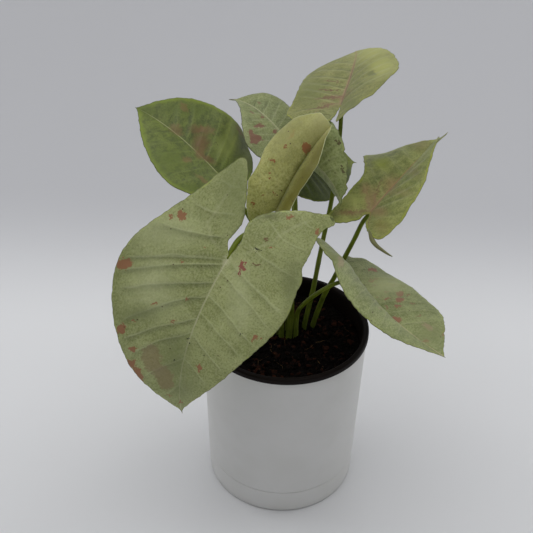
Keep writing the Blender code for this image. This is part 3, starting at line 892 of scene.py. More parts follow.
                picked.append((grid[cut].reshape(-1, 2), values[cut].ravel(), gaps[cut].ravel()))
            picked.append((lobe_part[0][-1, :1], lobe_part[1][-1, :1], np.array([OPEN_GAP])))
            for points, counts, gaps in picked:
                out = points * np.array([1.0, side])
                flat.append(out)
                veins.append(counts)
                spaces.append(gaps)
                space.append(lifted(self.leaf, points, side))
                lobe_far.append(distance_to(points, lobe_line))
                edge_far.append(distance_to(points, edge))
                gain.append(np.full(len(points), amplitude))
            for grid in (numbers, lobe_numbers):
                quads = np.stack([grid[:-1, :-1], grid[1:, :-1], grid[1:, 1:], grid[:-1, 1:]], -1).reshape(-1, 4)
                for quad in quads.tolist():
                    corners = list(dict.fromkeys(quad))
                    if len(corners) > 2:
                        faces.append(tuple(corners[::-1] if side > 0 else corners))
        flat = np.vstack(flat)
        rib_far = np.hypot(flat[:, 1], np.minimum(flat[:, 0], 0.0))
        values = {
            "flat": np.column_stack([flat, np.zeros(len(flat))]),
            "rib": rib_far,
            "lobe_vein": np.concatenate(lobe_far),
            "margin": np.concatenate(edge_far),
            "vein": np.concatenate(veins),
            "vein_gap": np.concatenate(spaces),
            "quilt": np.concatenate(gain),
        }
        return np.vstack(space), faces, values

    def normals(self, points: np.ndarray, faces: list) -> np.ndarray:
        """The mean direction that the sheet faces at every point.

        Args:
            points: Its points in space.
            faces: Its faces.

        Returns:
            A unit direction for every point.
        """
        quads = np.array([face if len(face) == 4 else (*face, face[-1]) for face in faces])
        facing = np.cross(points[quads[:, 2]] - points[quads[:, 0]], points[quads[:, 3]] - points[quads[:, 1]])
        short = np.linalg.norm(points[quads[:, 2]] - points[quads[:, 3]], axis=1) < 1e-9
        facing[short] = np.cross(points[quads[:, 1]] - points[quads[:, 0]],
                                 points[quads[:, 2]] - points[quads[:, 0]])[short]
        total = np.zeros_like(points)
        for k in range(4):
            np.add.at(total, quads[:, k], facing)
        return total / np.maximum(np.linalg.norm(total, axis=1), 1e-12)[:, None]

    def skin(self) -> Mesh:
        """The closed skin: upper face, underside and the rim between them.

        Returns:
            Its mesh, with slot nought above and at the rim and slot one below.
        """
        points, faces, values = self.sheet()
        normal = self.normals(points, faces)
        length = self.leaf.length
        ahead = values["flat"][:, 0]
        # From each side vein the blade drops fast toward the tip and then climbs slowly to the next one.
        tipward = 1.0 - values["vein"] % 1.0
        phase = 0.5 + 0.5 * np.cos(FULL_TURN * tipward ** 0.6)
        calm = ease(values["margin"], 0.5, 9.0) * ease(values["rib"], 0.3, 5.0) * ease(values["vein_gap"], 2.0, 6.0)
        calm = calm * (1.0 - self.relief.lobe_calm * ease(-ahead, 5.0, 18.0))
        quilt = values.pop("quilt") * (phase - 0.4) * calm
        taper = np.clip(1.0 - 0.75 * ahead / length, 0.2, 1.0) * ease(ahead, -NOTCH - 3.0, 0.0)
        groove = np.exp(-(values["rib"] / 0.55) ** 2) * taper * 0.18
        middle = points + normal * (quilt - groove)[:, None]
        half = self.edge + (self.body - self.edge) * ease(values["margin"], 0.0, 2.2)
        keel = self.keel * taper * np.exp(-(values["rib"] / (self.keel_width * (0.45 + 0.55 * taper))) ** 2)
        lobe_keel = 0.4 * self.keel * np.exp(-(values["lobe_vein"] / 0.7) ** 2)
        lobe_keel *= ease(-ahead, -1.0, 3.0) * ease(values["margin"], 1.0, 7.0)
        gap = np.abs(values["vein"] - np.round(values["vein"])) * values["vein_gap"]
        side_keel = 0.22 * np.exp(-(gap / 0.5) ** 2) * ease(values["margin"], 2.0, 10.0)
        below = half + np.maximum(keel, np.maximum(lobe_keel, side_keel)) * ease(values["margin"], 0.3, 2.0)
        top = middle + normal * half[:, None]
        bottom = middle - normal * below[:, None]
        count = len(points)
        # A dictionary, not a set, so that the edges keep their order from run to run.
        used = {(a, b): True for face in faces for a, b in zip(face, face[1:] + face[:1])}
        rim = [(b, a, a + count, b + count) for a, b in used if (b, a) not in used]
        under = [tuple(i + count for i in reversed(face)) for face in faces]
        slots = [0] * len(faces) + [1] * len(under) + [0] * len(rim)
        values = {key: np.concatenate([value, value]) for key, value in values.items()}
        mesh = Mesh(np.vstack([top, bottom]), faces + under + rim, values, slots)
        return self.with_tail(mesh) if self.leaf.tail else mesh

    def with_tail(self, mesh: Mesh) -> Mesh:
        """The skin with the narrow rolled end of its right lobe.

        Args:
            mesh: The skin without it.

        Returns:
            Both as one mesh.
        """
        line = resample(smooth_line(self.leaf.tail), TAIL_STEPS)
        points, faces = tube(line[:, :3], line[:, 3], TAIL_SIDES)
        start = len(mesh.points)
        count = len(points)
        along = np.repeat(np.linspace(0.0, TAIL_LENGTH, len(line)), TAIL_SIDES)
        half = self.leaf.right
        flat = np.column_stack([-half.back - along, np.full(count, -half.out), np.zeros(count)])
        extra = {"flat": flat, "rib": np.full(count, 20.0), "lobe_vein": np.full(count, 6.0),
                 "margin": np.full(count, 3.0), "vein": np.full(count, 0.5), "vein_gap": np.full(count, OPEN_GAP)}
        values = {key: np.concatenate([value, extra[key]]) for key, value in mesh.values.items()}
        slots = mesh.slots + [0] * len(faces)
        faces = mesh.faces + [tuple(i + start for i in face) for face in faces]
        return Mesh(np.vstack([mesh.points, points]), faces, values, slots)

    def upper_material(self) -> Material:
        """The upper face: ground, haze, veins with painted shade beside them, lime margin, patches and specks.

        Returns:
            The finished material.
        """
        finish = self.finish
        graph = Graph(f"living leaf, {self.leaf.name}, upper face")
        flat = graph.add("Attribute", {"attribute_name": "flat"}, {}, "Vector")
        rib, lobe, margin = (graph.add("Attribute", {"attribute_name": name}, {}, "Fac")
                             for name in ("rib", "lobe_vein", "margin"))
        veins = self.vein_masks(graph, rib, lobe, margin)
        # Cloudy ground: patches of fuller green about 20 mm across.
        cloud = graph.add("TexNoise", {}, {"Vector": flat, "Scale": 1 / 20.0, "Detail": 2.0})
        cloud = graph.add("MapRange", SMOOTH, {"Value": cloud, "From Min": 0.38, "From Max": 0.66})
        color = graph.add("Mix", COLOR, {0: cloud, 6: linear(finish.face), 7: linear(finish.deep)}, 2)
        # Mottling: streaks of fuller green about 4 mm across, drawn out sideways like the cells between the veins.
        streaks = graph.add("VectorMath", TIMES, {0: flat, 1: (1 / 3.2, 1 / 6.0, 1.0)})
        mottle = graph.add("TexNoise", {}, {"Vector": streaks, "Scale": 1.0, "Detail": 4.0, "Roughness": 0.65})
        mottle = graph.add("MapRange", SMOOTH, {"Value": mottle, "From Min": 0.4, "From Max": 0.66,
                                                "To Max": finish.mottle})
        color = graph.add("Mix", MULTIPLY, {0: mottle, 6: color, 7: linear(finish.mottle_dye)}, 2)
        # Haze: cells without green, in dots of about 1.3 mm that run together.
        haze = graph.add("TexNoise", {}, {"Vector": flat, "Scale": 1 / 1.3, "Detail": 3.0, "Roughness": 0.65})
        haze = graph.add("MapRange", SMOOTH, {"Value": haze, "From Min": 0.42, "From Max": 0.7,
                                              "To Max": finish.haze_gain})
        color = graph.add("Mix", COLOR, {0: haze, 6: color, 7: linear(finish.haze)}, 2)
        # Green freckles, about 2.6 mm apart.
        fleck = graph.add("TexVoronoi", {}, {"Vector": flat, "Scale": 1 / 2.6, "Randomness": 1.0})
        fleck = graph.add("MapRange", SMOOTH, {"Value": fleck, "From Min": 0.28, "From Max": 0.1,
                                               "To Max": 0.35 * finish.haze_gain})
        color = graph.add("Mix", COLOR, {0: fleck, 6: color, 7: linear(finish.deep)}, 2)
        # Grain: groups of cells about 1.2 mm across, fuller green than the rest. Real ones are finer than a pixel,
        # and these are as coarse as the render shows.
        grain = graph.add("TexNoise", {}, {"Vector": flat, "Scale": 1 / 1.2, "Detail": 3.0, "Roughness": 0.75})
        grain = graph.add("MapRange", SMOOTH, {"Value": grain, "From Min": 0.46, "From Max": 0.62})
        color = graph.add("Mix", MULTIPLY, {0: grain, 6: color, 7: linear(finish.cell_dye)}, 2)
        # Painted shade: the slope just tipward of each side vein is darkened.
        color = graph.add("Mix", MULTIPLY, {0: veins["lee_shade"], 6: color, 7: linear(finish.slope_shade)}, 2)
        for mask, tint in ((veins["net"], finish.vein), (veins["side"], finish.vein), (veins["rib"], finish.rib)):
            color = graph.add("Mix", COLOR, {0: mask, 6: color, 7: linear(tint)}, 2)
        # A brownish tint with painted shade darkens the crease along the midrib.
        color = graph.add("Mix", MULTIPLY, {0: veins["seam"], 6: color, 7: linear(finish.seam_tint_and_shade)}, 2)
        # The lime band's inner side is uneven, by about 3 mm.
        sway = graph.add("TexNoise", {}, {"Vector": flat, "Scale": 1 / 6.0, "Detail": 3.0})
        sway = graph.add("MapRange", {}, {"Value": sway, "To Min": -2.2, "To Max": 2.2})
        reach = graph.add("Math", {"operation": "ADD"}, {0: margin, 1: sway})
        lime = graph.add("MapRange", SMOOTH, {"Value": reach, "From Min": finish.lime_width,
                                              "From Max": 0.2 * finish.lime_width - 0.4, "To Max": 0.85})
        color = graph.add("Mix", COLOR, {0: lime, 6: color, 7: linear(finish.lime)}, 2)
        # Patches end in steps of about 1.3 mm, from one group of cells to the next.
        ragged = graph.add("TexVoronoi", {"distance": "CHEBYCHEV"}, {"Vector": flat, "Scale": 1 / 1.3}, "Color")
        ragged = graph.add("VectorMath", {"operation": "SUBTRACT"}, {0: ragged, 1: (0.5, 0.5, 0.5)})
        ragged = graph.add("VectorMath", {"operation": "MULTIPLY_ADD"}, {0: ragged, 1: (1.5, 1.5, 0.0), 2: flat})
        bent = graph.add("TexNoise", {}, {"Vector": flat, "Scale": 1 / 3.0, "Detail": 2.0}, "Color")
        bent = graph.add("VectorMath", {"operation": "SUBTRACT"}, {0: bent, 1: (0.5, 0.5, 0.5)})
        ragged = graph.add("VectorMath", {"operation": "MULTIPLY_ADD"}, {0: bent, 1: (4.0, 4.0, 0.0), 2: ragged})
        for marking in finish.markings:
            mask = self.marking_mask(graph, marking, ragged)
            color = graph.add("Mix", COLOR, {0: mask, 6: color, 7: linear(marking.color)}, 2)
        speck = self.speck_mask(graph, flat)
        color = graph.add("Mix", COLOR, {0: speck, 6: color, 7: linear(finish.speck)}, 2)
        rim = graph.add("MapRange", SMOOTH, {"Value": margin, "From Min": 0.42, "From Max": 0.12, "To Max": 0.8})
        color = graph.add("Mix", COLOR, {0: rim, 6: color, 7: linear(finish.rim)}, 2)
        return self.cuticle(graph, flat, color, veins, finish.roughness)

    def under_material(self) -> Material:
        """The underside: paler and duller, with veins that stand out.

        Returns:
            The finished material.
        """
        finish = self.finish
        graph = Graph(f"living leaf, {self.leaf.name}, underside")
        flat = graph.add("Attribute", {"attribute_name": "flat"}, {}, "Vector")
        rib, lobe, margin = (graph.add("Attribute", {"attribute_name": name}, {}, "Fac")
                             for name in ("rib", "lobe_vein", "margin"))
        veins = self.vein_masks(graph, rib, lobe, margin)
        cloud = graph.add("TexNoise", {}, {"Vector": flat, "Scale": 1 / 14.0, "Detail": 3.0})
        cloud = graph.add("MapRange", SMOOTH, {"Value": cloud, "From Min": 0.35, "From Max": 0.7, "To Max": 0.45})
        color = graph.add("Mix", COLOR, {0: cloud, 6: linear(finish.under), 7: linear(finish.deep)}, 2)
        for mask in (veins["net"], veins["side"], veins["rib"]):
            color = graph.add("Mix", COLOR, {0: mask, 6: color, 7: linear(finish.under_vein)}, 2)
        rim = graph.add("MapRange", SMOOTH, {"Value": margin, "From Min": 1.2, "From Max": 0.2, "To Max": 0.6})
        color = graph.add("Mix", COLOR, {0: rim, 6: color, 7: linear(finish.lime)}, 2)
        return self.cuticle(graph, flat, color, veins, finish.under_roughness)

    def vein_masks(self, graph: Graph, rib: Socket, lobe: Socket,
                   margin: Socket) -> dict:
        """Masks of the midrib, its seam, the side veins, painted shade tipward of them and the net between them.

        Args:
            graph: The material's nodes.
            rib: Distance to the midrib.
            lobe: Distance to the lobe's vein.
            margin: Distance to the margin.

        Returns:
            The masks by name.
        """
        flat = graph.add("Attribute", {"attribute_name": "flat"}, {}, "Vector")
        count = graph.add("Attribute", {"attribute_name": "vein"}, {}, "Fac")
        gap = graph.add("Attribute", {"attribute_name": "vein_gap"}, {}, "Fac")
        gain = self.finish.vein_gain
        sway = graph.add("TexNoise", {}, {"Vector": flat, "Scale": 1 / 16.0, "Detail": 1.0})
        sway = graph.add("MapRange", {}, {"Value": sway, "To Min": -0.12, "To Max": 0.12})
        count = graph.add("Math", {"operation": "ADD"}, {0: count, 1: sway})
        # Painted shade on the slope tipward of each side vein, fading out about 4.5 mm from the vein.
        lee_shade = graph.add("Math", {"operation": "FRACT"}, {0: count})
        lee_shade = graph.add("Math", {"operation": "SUBTRACT"}, {0: 1.0, 1: lee_shade})
        lee_shade = graph.add("Math", TIMES, {0: lee_shade, 1: gap})
        lee_shade = graph.add("MapRange", SMOOTH, {"Value": lee_shade, "From Min": 4.5, "From Max": 0.6,
                                             "To Max": min(0.7, 1.8 * gain)})
        near = graph.add("Math", {"operation": "PINGPONG"}, {0: count, 1: 0.5})
        near = graph.add("Math", TIMES, {0: near, 1: gap})
        side = graph.add("MapRange", SMOOTH, {"Value": near, "From Min": 0.8, "From Max": 0.1, "To Max": gain})
        inland = graph.add("MapRange", SMOOTH, {"Value": margin, "From Min": 1.0, "From Max": 9.0})
        side = graph.add("Math", TIMES, {0: side, 1: inland})
        lee_shade = graph.add("Math", TIMES, {0: lee_shade, 1: inland})
        ahead = graph.add("SeparateXYZ", {}, {0: flat}, "X")
        in_body = graph.add("MapRange", SMOOTH, {"Value": ahead, "From Min": -20.0, "From Max": -6.0,
                                                 "To Min": 0.3})
        lee_shade = graph.add("Math", TIMES, {0: lee_shade, 1: in_body})
        aside = graph.add("SeparateXYZ", {}, {0: flat}, "Y")
        steeper = max(self.relief.left, self.relief.right)
        in_half = graph.add("MapRange", {}, {"Value": aside, "From Min": -1.0, "From Max": 1.0,
                                             "To Min": self.relief.right / steeper,
                                             "To Max": self.relief.left / steeper})
        lee_shade = graph.add("Math", TIMES, {0: lee_shade, 1: in_half})
        width = graph.add("MapRange", {}, {"Value": ahead, "From Min": 0.0, "From Max": self.leaf.length,
                                           "To Min": 0.9 * self.finish.rib_width,
                                           "To Max": 0.4 * self.finish.rib_width})
        middle = graph.add("Math", {"operation": "DIVIDE"}, {0: rib, 1: width})
        main = graph.add("MapRange", SMOOTH, {"Value": middle, "From Min": 1.25, "From Max": 0.55, "To Max": 0.8})
        lobes = graph.add("MapRange", SMOOTH, {"Value": lobe, "From Min": 1.3, "From Max": 0.2, "To Max": 0.7 * gain})
        lobes = graph.add("Math", TIMES, {0: lobes, 1: inland})
        main = graph.add("Math", {"operation": "MAXIMUM"}, {0: main, 1: lobes})
        # The seam: the midrib's crease, dented by the bump and given a brownish tint with painted shade.
        seam = graph.add("MapRange", SMOOTH, {"Value": middle, "From Min": 0.3, "From Max": 0.1, "To Max": 0.6})
        # The net of the smallest veins, with meshes of about 3 mm.
        net = graph.add("TexVoronoi", {"feature": "DISTANCE_TO_EDGE"}, {"Vector": flat, "Scale": 1 / 3.0})
        net = graph.add("MapRange", SMOOTH, {"Value": net, "From Min": 0.09, "From Max": 0.0, "To Max": 0.28 * gain})
        return {"side": side, "rib": main, "seam": seam, "net": net, "lee_shade": lee_shade}

    def marking_mask(self, graph: Graph, marking: Marking, ragged: Socket) -> Socket:
        """The mask of all patches of one marking.

        Args:
            graph: The material's nodes.
            marking: The patches.
            ragged: Flat coordinates that noise has shifted a little.

        Returns:
            The mask.
        """
        nearest = None
        for ahead, aside, long, wide, *turn in marking.places:
            place = graph.add("Mapping", {"vector_type": "TEXTURE"}, {
                "Vector": ragged, "Location": (ahead, aside, 0.0), "Scale": (long, wide, 1.0),
                "Rotation": (0.0, 0.0, math.radians(turn[0] if turn else 0.0))})
            far = graph.add("VectorMath", {"operation": "LENGTH"}, {0: place}, "Value")
            nearest = far if nearest is None else graph.add("Math", {"operation": "MINIMUM"}, {0: nearest, 1: far})
        return graph.add("MapRange", SMOOTH, {"Value": nearest, "From Min": 1.0 + marking.edge.value,
                                              "From Max": 1.0 - marking.edge.value, "To Max": marking.strength})

    def speck_mask(self, graph: Graph, flat: Socket) -> Socket:
        """Rare dark specks of about 0.6 mm, in one of about five cells.

        Args:
            graph: The material's nodes.
            flat: Coordinates on the blade laid flat.

        Returns:
            Their mask.
        """
        step = self.finish.speck_step
        far = graph.add("TexVoronoi", {}, {"Vector": flat, "Scale": 1 / step})
        rare = graph.add("SeparateColor", {}, {0: far.node.outputs["Color"]}, "Red")
        rare = graph.add("MapRange", {}, {"Value": rare, "From Min": 0.8, "From Max": 0.82})
        size = graph.add("MapRange", SMOOTH, {"Value": far, "From Min": 0.55 / step, "From Max": 0.3 / step,
                                              "To Max": self.finish.speck_gain})
        return graph.add("Math", TIMES, {0: rare, 1: size})

    def cuticle(self, graph: Graph, flat: Socket, color: Socket, veins: dict,
                roughness: float) -> Material:
        """The waxy skin over the colour.

        Args:
            graph: The material's nodes.
            flat: Coordinates on the blade laid flat.
            color: The colour.
            veins: The vein masks.
            roughness: The middle of its range.

        Returns:
            The finished material.
        """
        # Cells 0.5 mm across dimple the skin. Real ones are finer, and these are as coarse as the render shows.
        cells = graph.add("TexNoise", {}, {"Vector": flat, "Scale": 1 / 0.5, "Detail": 2.0})
        shine = graph.add("TexNoise", {}, {"Vector": flat, "Scale": 1 / 5.0, "Detail": 3.0})
        shine = graph.add("MapRange", {}, {"Value": shine, "From Min": 0.3, "From Max": 0.7,
                                           "To Min": roughness - 0.07, "To Max": roughness + 0.07})
        height = graph.add("Math", {"operation": "MULTIPLY_ADD"}, {0: veins["side"], 1: 1.4, 2: cells})
        height = graph.add("Math", {"operation": "MULTIPLY_ADD"}, {0: veins["net"], 1: -1.6, 2: height})
        height = graph.add("Math", {"operation": "MULTIPLY_ADD"}, {0: veins["seam"], 1: -1.0, 2: height})
        bump = graph.add("Bump", {}, {"Height": height, "Strength": 0.55, "Distance": 0.12 * MM})
        # IOR 1.42 for plant wax. Light that soaks in and comes out is what makes a thin leaf glow.
        shader = graph.add("BsdfPrincipled", {}, {
            "Base Color": color, "Roughness": shine, "Normal": bump, "IOR": 1.42,
            "Subsurface Weight": 0.18, "Subsurface Radius": (0.7, 1.0, 0.25), "Subsurface Scale": 1.0 * MM,
            "Sheen Weight": 0.08, "Sheen Roughness": 0.5})
        return graph.finish(shader)

    def build(self) -> None:
        """Builds the blade and puts it in the place of its solid."""
        piece = make_object("leaf_" + self.leaf.name, self.skin(), [self.upper_material(), self.under_material()])
        hand_over(piece, "blade_" + self.leaf.name)


@dataclass(frozen=True)
class LeafStalk:
    """One leaf stalk with its sheath.

    wing: how far the sheath's two edges stand out of the foot. sheath_top: the height at which they end. span_steps:
    pieces of the curve between two knots. shade: a dye for its duller stretches.
    """

    leaf: Leaf
    sides: int = 20
    segments: int = 90
    foot: str = "#5C6A26"
    green: str = "#667418"
    neck: str = "#86923A"
    shade: str = "#8A9070"
    wing: float = 0.45
    sheath_top: float = 150.0
    span_steps: int = 24

    def skin(self) -> Mesh:
        """The stalk as a round bar that swells at the sheath and narrows under the blade.

        Returns:
            Its mesh.
        """
        leaf = self.leaf
        joint, _, normal = midrib_frame(leaf, leaf.left, np.array([0.0]))
        end = joint[0] - normal[0] * 0.5
        x, y = leaf.foot
        buried = [(x, y, STALK_FOOT), (x, y, SOIL_TOP - 6.0), (x, y, SOIL_TOP + 1.0)]
        line = resample(smooth_line([*buried, *leaf.knots, tuple(end)], self.span_steps), self.segments)
        share = np.linspace(0.0, 1.0, len(line))
        radii = leaf.foot_radius + (leaf.neck_radius - leaf.foot_radius) * share
        radii = radii * (1.0 + 0.02 * np.sin(share * 47.0) + 0.015 * np.sin(share * 91.0 + 1.0))
        radii = radii * (1.0 - 0.45 * ease(share, 0.975, 1.0))
        height = line[:, 2]
        ridge = self.wing * (1.0 - ease(height, self.sheath_top - 22.0, self.sheath_top))
        ridge = ridge * ease(height, STALK_FOOT, SOIL_TOP - 4.0)
        points, faces = tube(line, radii, self.sides, ridge, np.array(CROWN))
        length = np.linalg.norm(np.diff(line, axis=0), axis=1).sum()
        along = np.repeat(np.linspace(0.0, length, len(line)), self.sides)
        turn = np.tile(np.arange(self.sides) * (FULL_TURN / self.sides), len(line))
        flat = np.column_stack([along, 2.0 * np.cos(turn), 2.0 * np.sin(turn)])
        return Mesh(points, faces, {"flat": flat}, [])

    def material(self) -> Material:
        """Fleshy stalk: smooth skin with fine lengthwise fibres and a wide soft highlight.

        Returns:
            The finished material.
        """
        graph = Graph(f"fleshy stalk, {self.leaf.name}")
        flat = graph.add("Attribute", {"attribute_name": "flat"}, {}, "Vector")
        ahead = graph.add("SeparateXYZ", {}, {0: flat}, "X")
        # Fibres are about 0.5 mm wide and run on for some 12 mm.
        stretched = graph.add("VectorMath", TIMES, {0: flat, 1: (1 / 12.0, 1 / 0.9, 1 / 0.9)})
        fibres = graph.add("TexNoise", {}, {"Vector": stretched, "Scale": 1.0, "Detail": 3.0})
        cloud = graph.add("TexNoise", {}, {"Vector": flat, "Scale": 1 / 9.0, "Detail": 2.0})
        upward = graph.add("MapRange", SMOOTH, {"Value": ahead, "From Min": 25.0, "From Max": 75.0})
        color = graph.add("Mix", COLOR, {0: upward, 6: linear(self.foot), 7: linear(self.green)}, 2)
        mask = graph.add("MapRange", SMOOTH, {"Value": fibres, "From Min": 0.45, "From Max": 0.75, "To Max": 0.5})
        color = graph.add("Mix", COLOR, {0: mask, 6: color, 7: linear(self.neck)}, 2)
        shade = graph.add("MapRange", SMOOTH, {"Value": cloud, "From Min": 0.5, "From Max": 0.75, "To Max": 0.5})
        color = graph.add("Mix", MULTIPLY, {0: shade, 6: color, 7: linear(self.shade)}, 2)
        bump = graph.add("Bump", {}, {"Height": fibres, "Strength": 0.5, "Distance": 0.15 * MM})
        shine = graph.add("MapRange", {}, {"Value": cloud, "To Min": 0.32, "To Max": 0.5})
        shader = graph.add("BsdfPrincipled", {}, {
            "Base Color": color, "Roughness": shine, "Normal": bump, "IOR": 1.42, "Specular IOR Level": 0.3,
            "Subsurface Weight": 0.1, "Subsurface Radius": (0.8, 1.0, 0.3), "Subsurface Scale": 1.0 * MM})
        return graph.finish(shader)

    def build(self) -> None:
        """Builds the stalk and puts it in the place of its solid."""
        piece = make_object("leafstalk_" + self.leaf.name, self.skin(), [self.material()])
        hand_over(piece, "stalk_" + self.leaf.name)


@dataclass(frozen=True)
class PottingSoil:
    """Loose potting soil with bark, crumbs and root fibres.

    radius: the soil's edge at its top. The counts are of bark pieces, crumbs and fibres.
    """

    radius: float = 49.4
    floor: float = 15.0
    floor_radius: float = 41.5
    rings: int = 60
    spokes: int = 150
    bark: int = 260
    crumbs: int = 1500
    fibres: int = 18
    seed: int = 23

    def height(self, x: np.ndarray, y: np.ndarray) -> np.ndarray:
        """Height of the uneven top.

        Args:
            x: Places to the right.
            y: Places to the back.

        Returns:
            The heights there.
        """
        chance = np.random.default_rng(self.seed)
        total = np.zeros_like(x, float)
        for wavelength, size in SOIL_WAVES:
            for _ in range(3):
                angle, phase = chance.uniform(0.0, FULL_TURN, 2)
                wave = x * math.cos(angle) + y * math.sin(angle)
                total += size * np.sin(FULL_TURN * wave / wavelength + phase)
        across = np.hypot(x, y)
        return SOIL_TOP + total * 0.55 + 0.8 * ease(across, 30.0, self.radius) - 0.4

    def height_at(self, x: float, y: float) -> float:
        """Height of the top at one place."""
        return float(self.height(np.array([x]), np.array([y]))[0])

    def ground(self) -> tuple[np.ndarray, list]:
        """The body of soil: uneven top, plain sides and floor.

        Returns:
            Its points and faces.
        """
        points = [(0.0, 0.0, self.height_at(0.0, 0.0))]
        angles = np.linspace(0.0, FULL_TURN, self.spokes, endpoint=False)
        for ring in range(1, self.rings + 1):
            across = self.radius * ring / self.rings
            x, y = across * np.cos(angles), across * np.sin(angles)
            points += list(zip(x, y, self.height(x, y)))
        points += [(self.floor_radius * math.cos(a), self.floor_radius * math.sin(a), self.floor) for a in angles]
        points.append((0.0, 0.0, self.floor))
        faces = [(0, 1 + k, 1 + (k + 1) % self.spokes) for k in range(self.spokes)]
        for ring in range(self.rings):
            base = 1 + ring * self.spokes
            for k in range(self.spokes):
                following = (k + 1) % self.spokes
                faces.append((base + k, base + self.spokes + k, base + self.spokes + following, base + following))
        base = 1 + self.rings * self.spokes
        faces += [(base + (k + 1) % self.spokes, base + k, len(points) - 1) for k in range(self.spokes)]
        return np.array(points), faces

    def lump(self, chance: np.random.Generator, size: np.ndarray, corners: int) -> tuple[np.ndarray, list]:
        """An irregular flat-sided lump.

        Args:
            chance: Random draws.
            size: Half sizes along its three axes.
            corners: Corners of its outline.

        Returns:
            Points about its own middle, and faces.
        """
        even = np.linspace(0.0, FULL_TURN, corners, endpoint=False)
        angles = np.sort(even + chance.uniform(-0.3, 0.3, corners))
        reach = chance.uniform(0.72, 1.1, corners)
        outline = np.column_stack([np.cos(angles) * reach, np.sin(angles) * reach])
        layers = []
        for level, share in ((-1.0, 0.7), (-0.2, 1.0), (0.5, 0.95), (1.0, 0.6)):
            jitter = chance.uniform(-0.08, 0.08, (corners, 3))
            layers.append(np.column_stack([outline * share, np.full(corners, level)]) + jitter)
        return np.vstack(layers) * size, capped(len(layers), corners)

    def turned_about(self, points: np.ndarray, chance: np.random.Generator, tilt: float) -> np.ndarray:
        """The points turned at random, tilted by no more than tilt radians.

        Args:
            points: Points about their own middle.
            chance: Random draws.
            tilt: The largest tilt.

        Returns:
            The turned points.
        """
        yaw = chance.uniform(0.0, FULL_TURN)
        pitch, roll = chance.uniform(-tilt, tilt, 2)
        turn = Matrix.Rotation(yaw, 3, "Z") @ Matrix.Rotation(pitch, 3, "X") @ Matrix.Rotation(roll, 3, "Y")
        return points @ np.array(turn).T

    def skin(self) -> Mesh:
        """Ground, crumbs, bark and fibres as one mesh with a slot for each kind.

        Returns:
            The mesh.
        """
        chance = np.random.default_rng(self.seed + 1)
        parts = [(*self.ground(), PEAT)]
        for slot, number in ((PEAT, self.crumbs), (BARK, self.bark)):
            for _ in range(number):
                across = (self.radius - 2.0) * math.sqrt(chance.uniform(0.0, 1.0))
                angle = chance.uniform(0.0, FULL_TURN)
                x, y = across * math.cos(angle), across * math.sin(angle)
                if slot == PEAT:
                    corners, tilt = 6, 1.5
                    size = chance.uniform(0.45, 1.5) * chance.uniform(0.7, 1.1, 3)
                else:
                    corners, tilt = 7, 0.55
                    long = chance.uniform(1.4, 4.2)
                    size = np.array([long, long * chance.uniform(0.35, 0.7), chance.uniform(0.4, 0.9)])
                lump, faces = self.lump(chance, size, corners)
                lump = self.turned_about(lump, chance, tilt)
                parts.append((lump + np.array([x, y, self.height_at(x, y) + 0.25 * size[2]]), faces, slot))
        parts += [(*self.fibre(chance), FIBRE) for _ in range(self.fibres)]
        return joined(parts)

    def fibre(self, chance: np.random.Generator) -> tuple[np.ndarray, list]:
        """One root fibre that lies on the soil in a loose curve.

        Args:
            chance: Random draws.

        Returns:
            Its points and faces.
        """
        across = (self.radius - 6.0) * math.sqrt(chance.uniform(0.0, 1.0))
        angle, heading = chance.uniform(0.0, FULL_TURN, 2)
        x, y = across * math.cos(angle), across * math.sin(angle)
        turn = chance.uniform(-0.35, 0.35)
        places = []
        for _ in range(int(chance.integers(6, 13))):
            if math.hypot(x, y) > self.radius - 2.5:
                break
            lift = chance.uniform(0.5, 1.3)
            places.append((x, y, self.height_at(x, y) + lift))
            heading += turn + chance.uniform(-0.3, 0.3)
            x += 2.3 * math.cos(heading)
            y += 2.3 * math.sin(heading)
        while len(places) < 3:
            places.append((places[-1][0] * 0.95, places[-1][1] * 0.95, places[-1][2]) if places
                          else (x * 0.9, y * 0.9, SOIL_TOP + 1.0))
        line = smooth_line(places, 3)
        radii = np.linspace(0.17, 0.09, len(line)) * chance.uniform(0.8, 1.3)
        return tube(line, radii, 5)

    def materials(self) -> list:
        """Peaty soil, composted bark and dry root fibre.

        Returns:
            The materials, in the order of the soil's slots.
        """
        made = []
        # Damp peat is almost black and fully matt, and its grain catches only tiny glints.
        recipes = (("damp peaty soil", "#070504", "#120C0A", 1 / 2.5, 0.95),
                   ("composted bark", "#361C12", "#0D0705", 1 / 3.0, 0.85),
                   ("dry root fibre", "#6A5238", "#33251A", 1 / 5.0, 0.75))
        for name, light, dark, scale, roughness in recipes:
            graph = Graph(name)
            place = graph.millimetres()
            cloud = graph.add("TexNoise", {}, {"Vector": place, "Scale": scale, "Detail": 4.0})
            mask = graph.add("MapRange", SMOOTH, {"Value": cloud, "From Min": 0.35, "From Max": 0.65})
            color = graph.add("Mix", COLOR, {0: mask, 6: linear(light), 7: linear(dark)}, 2)
            grain = graph.add("TexNoise", {}, {"Vector": place, "Scale": 1 / 0.35, "Detail": 3.0})
            bump = graph.add("Bump", {}, {"Height": grain, "Strength": 0.9, "Distance": 0.3 * MM})
            shader = graph.add("BsdfPrincipled", {}, {"Base Color": color, "Roughness": roughness, "Normal": bump,
                                                      "IOR": 1.4, "Specular IOR Level": 0.12})
            made.append(graph.finish(shader))
        return made

    def build(self) -> None:
        """Builds the soil and puts it in the place of its solid."""
        piece = make_object("potting_soil", self.skin(), self.materials())
        # Only the fibres are round: crumbs and bark are broken, with flat sides.
        faces = piece.data.polygons
        faces.foreach_set("use_smooth", [face.material_index == FIBRE for face in faces])
        hand_over(piece, "soil")


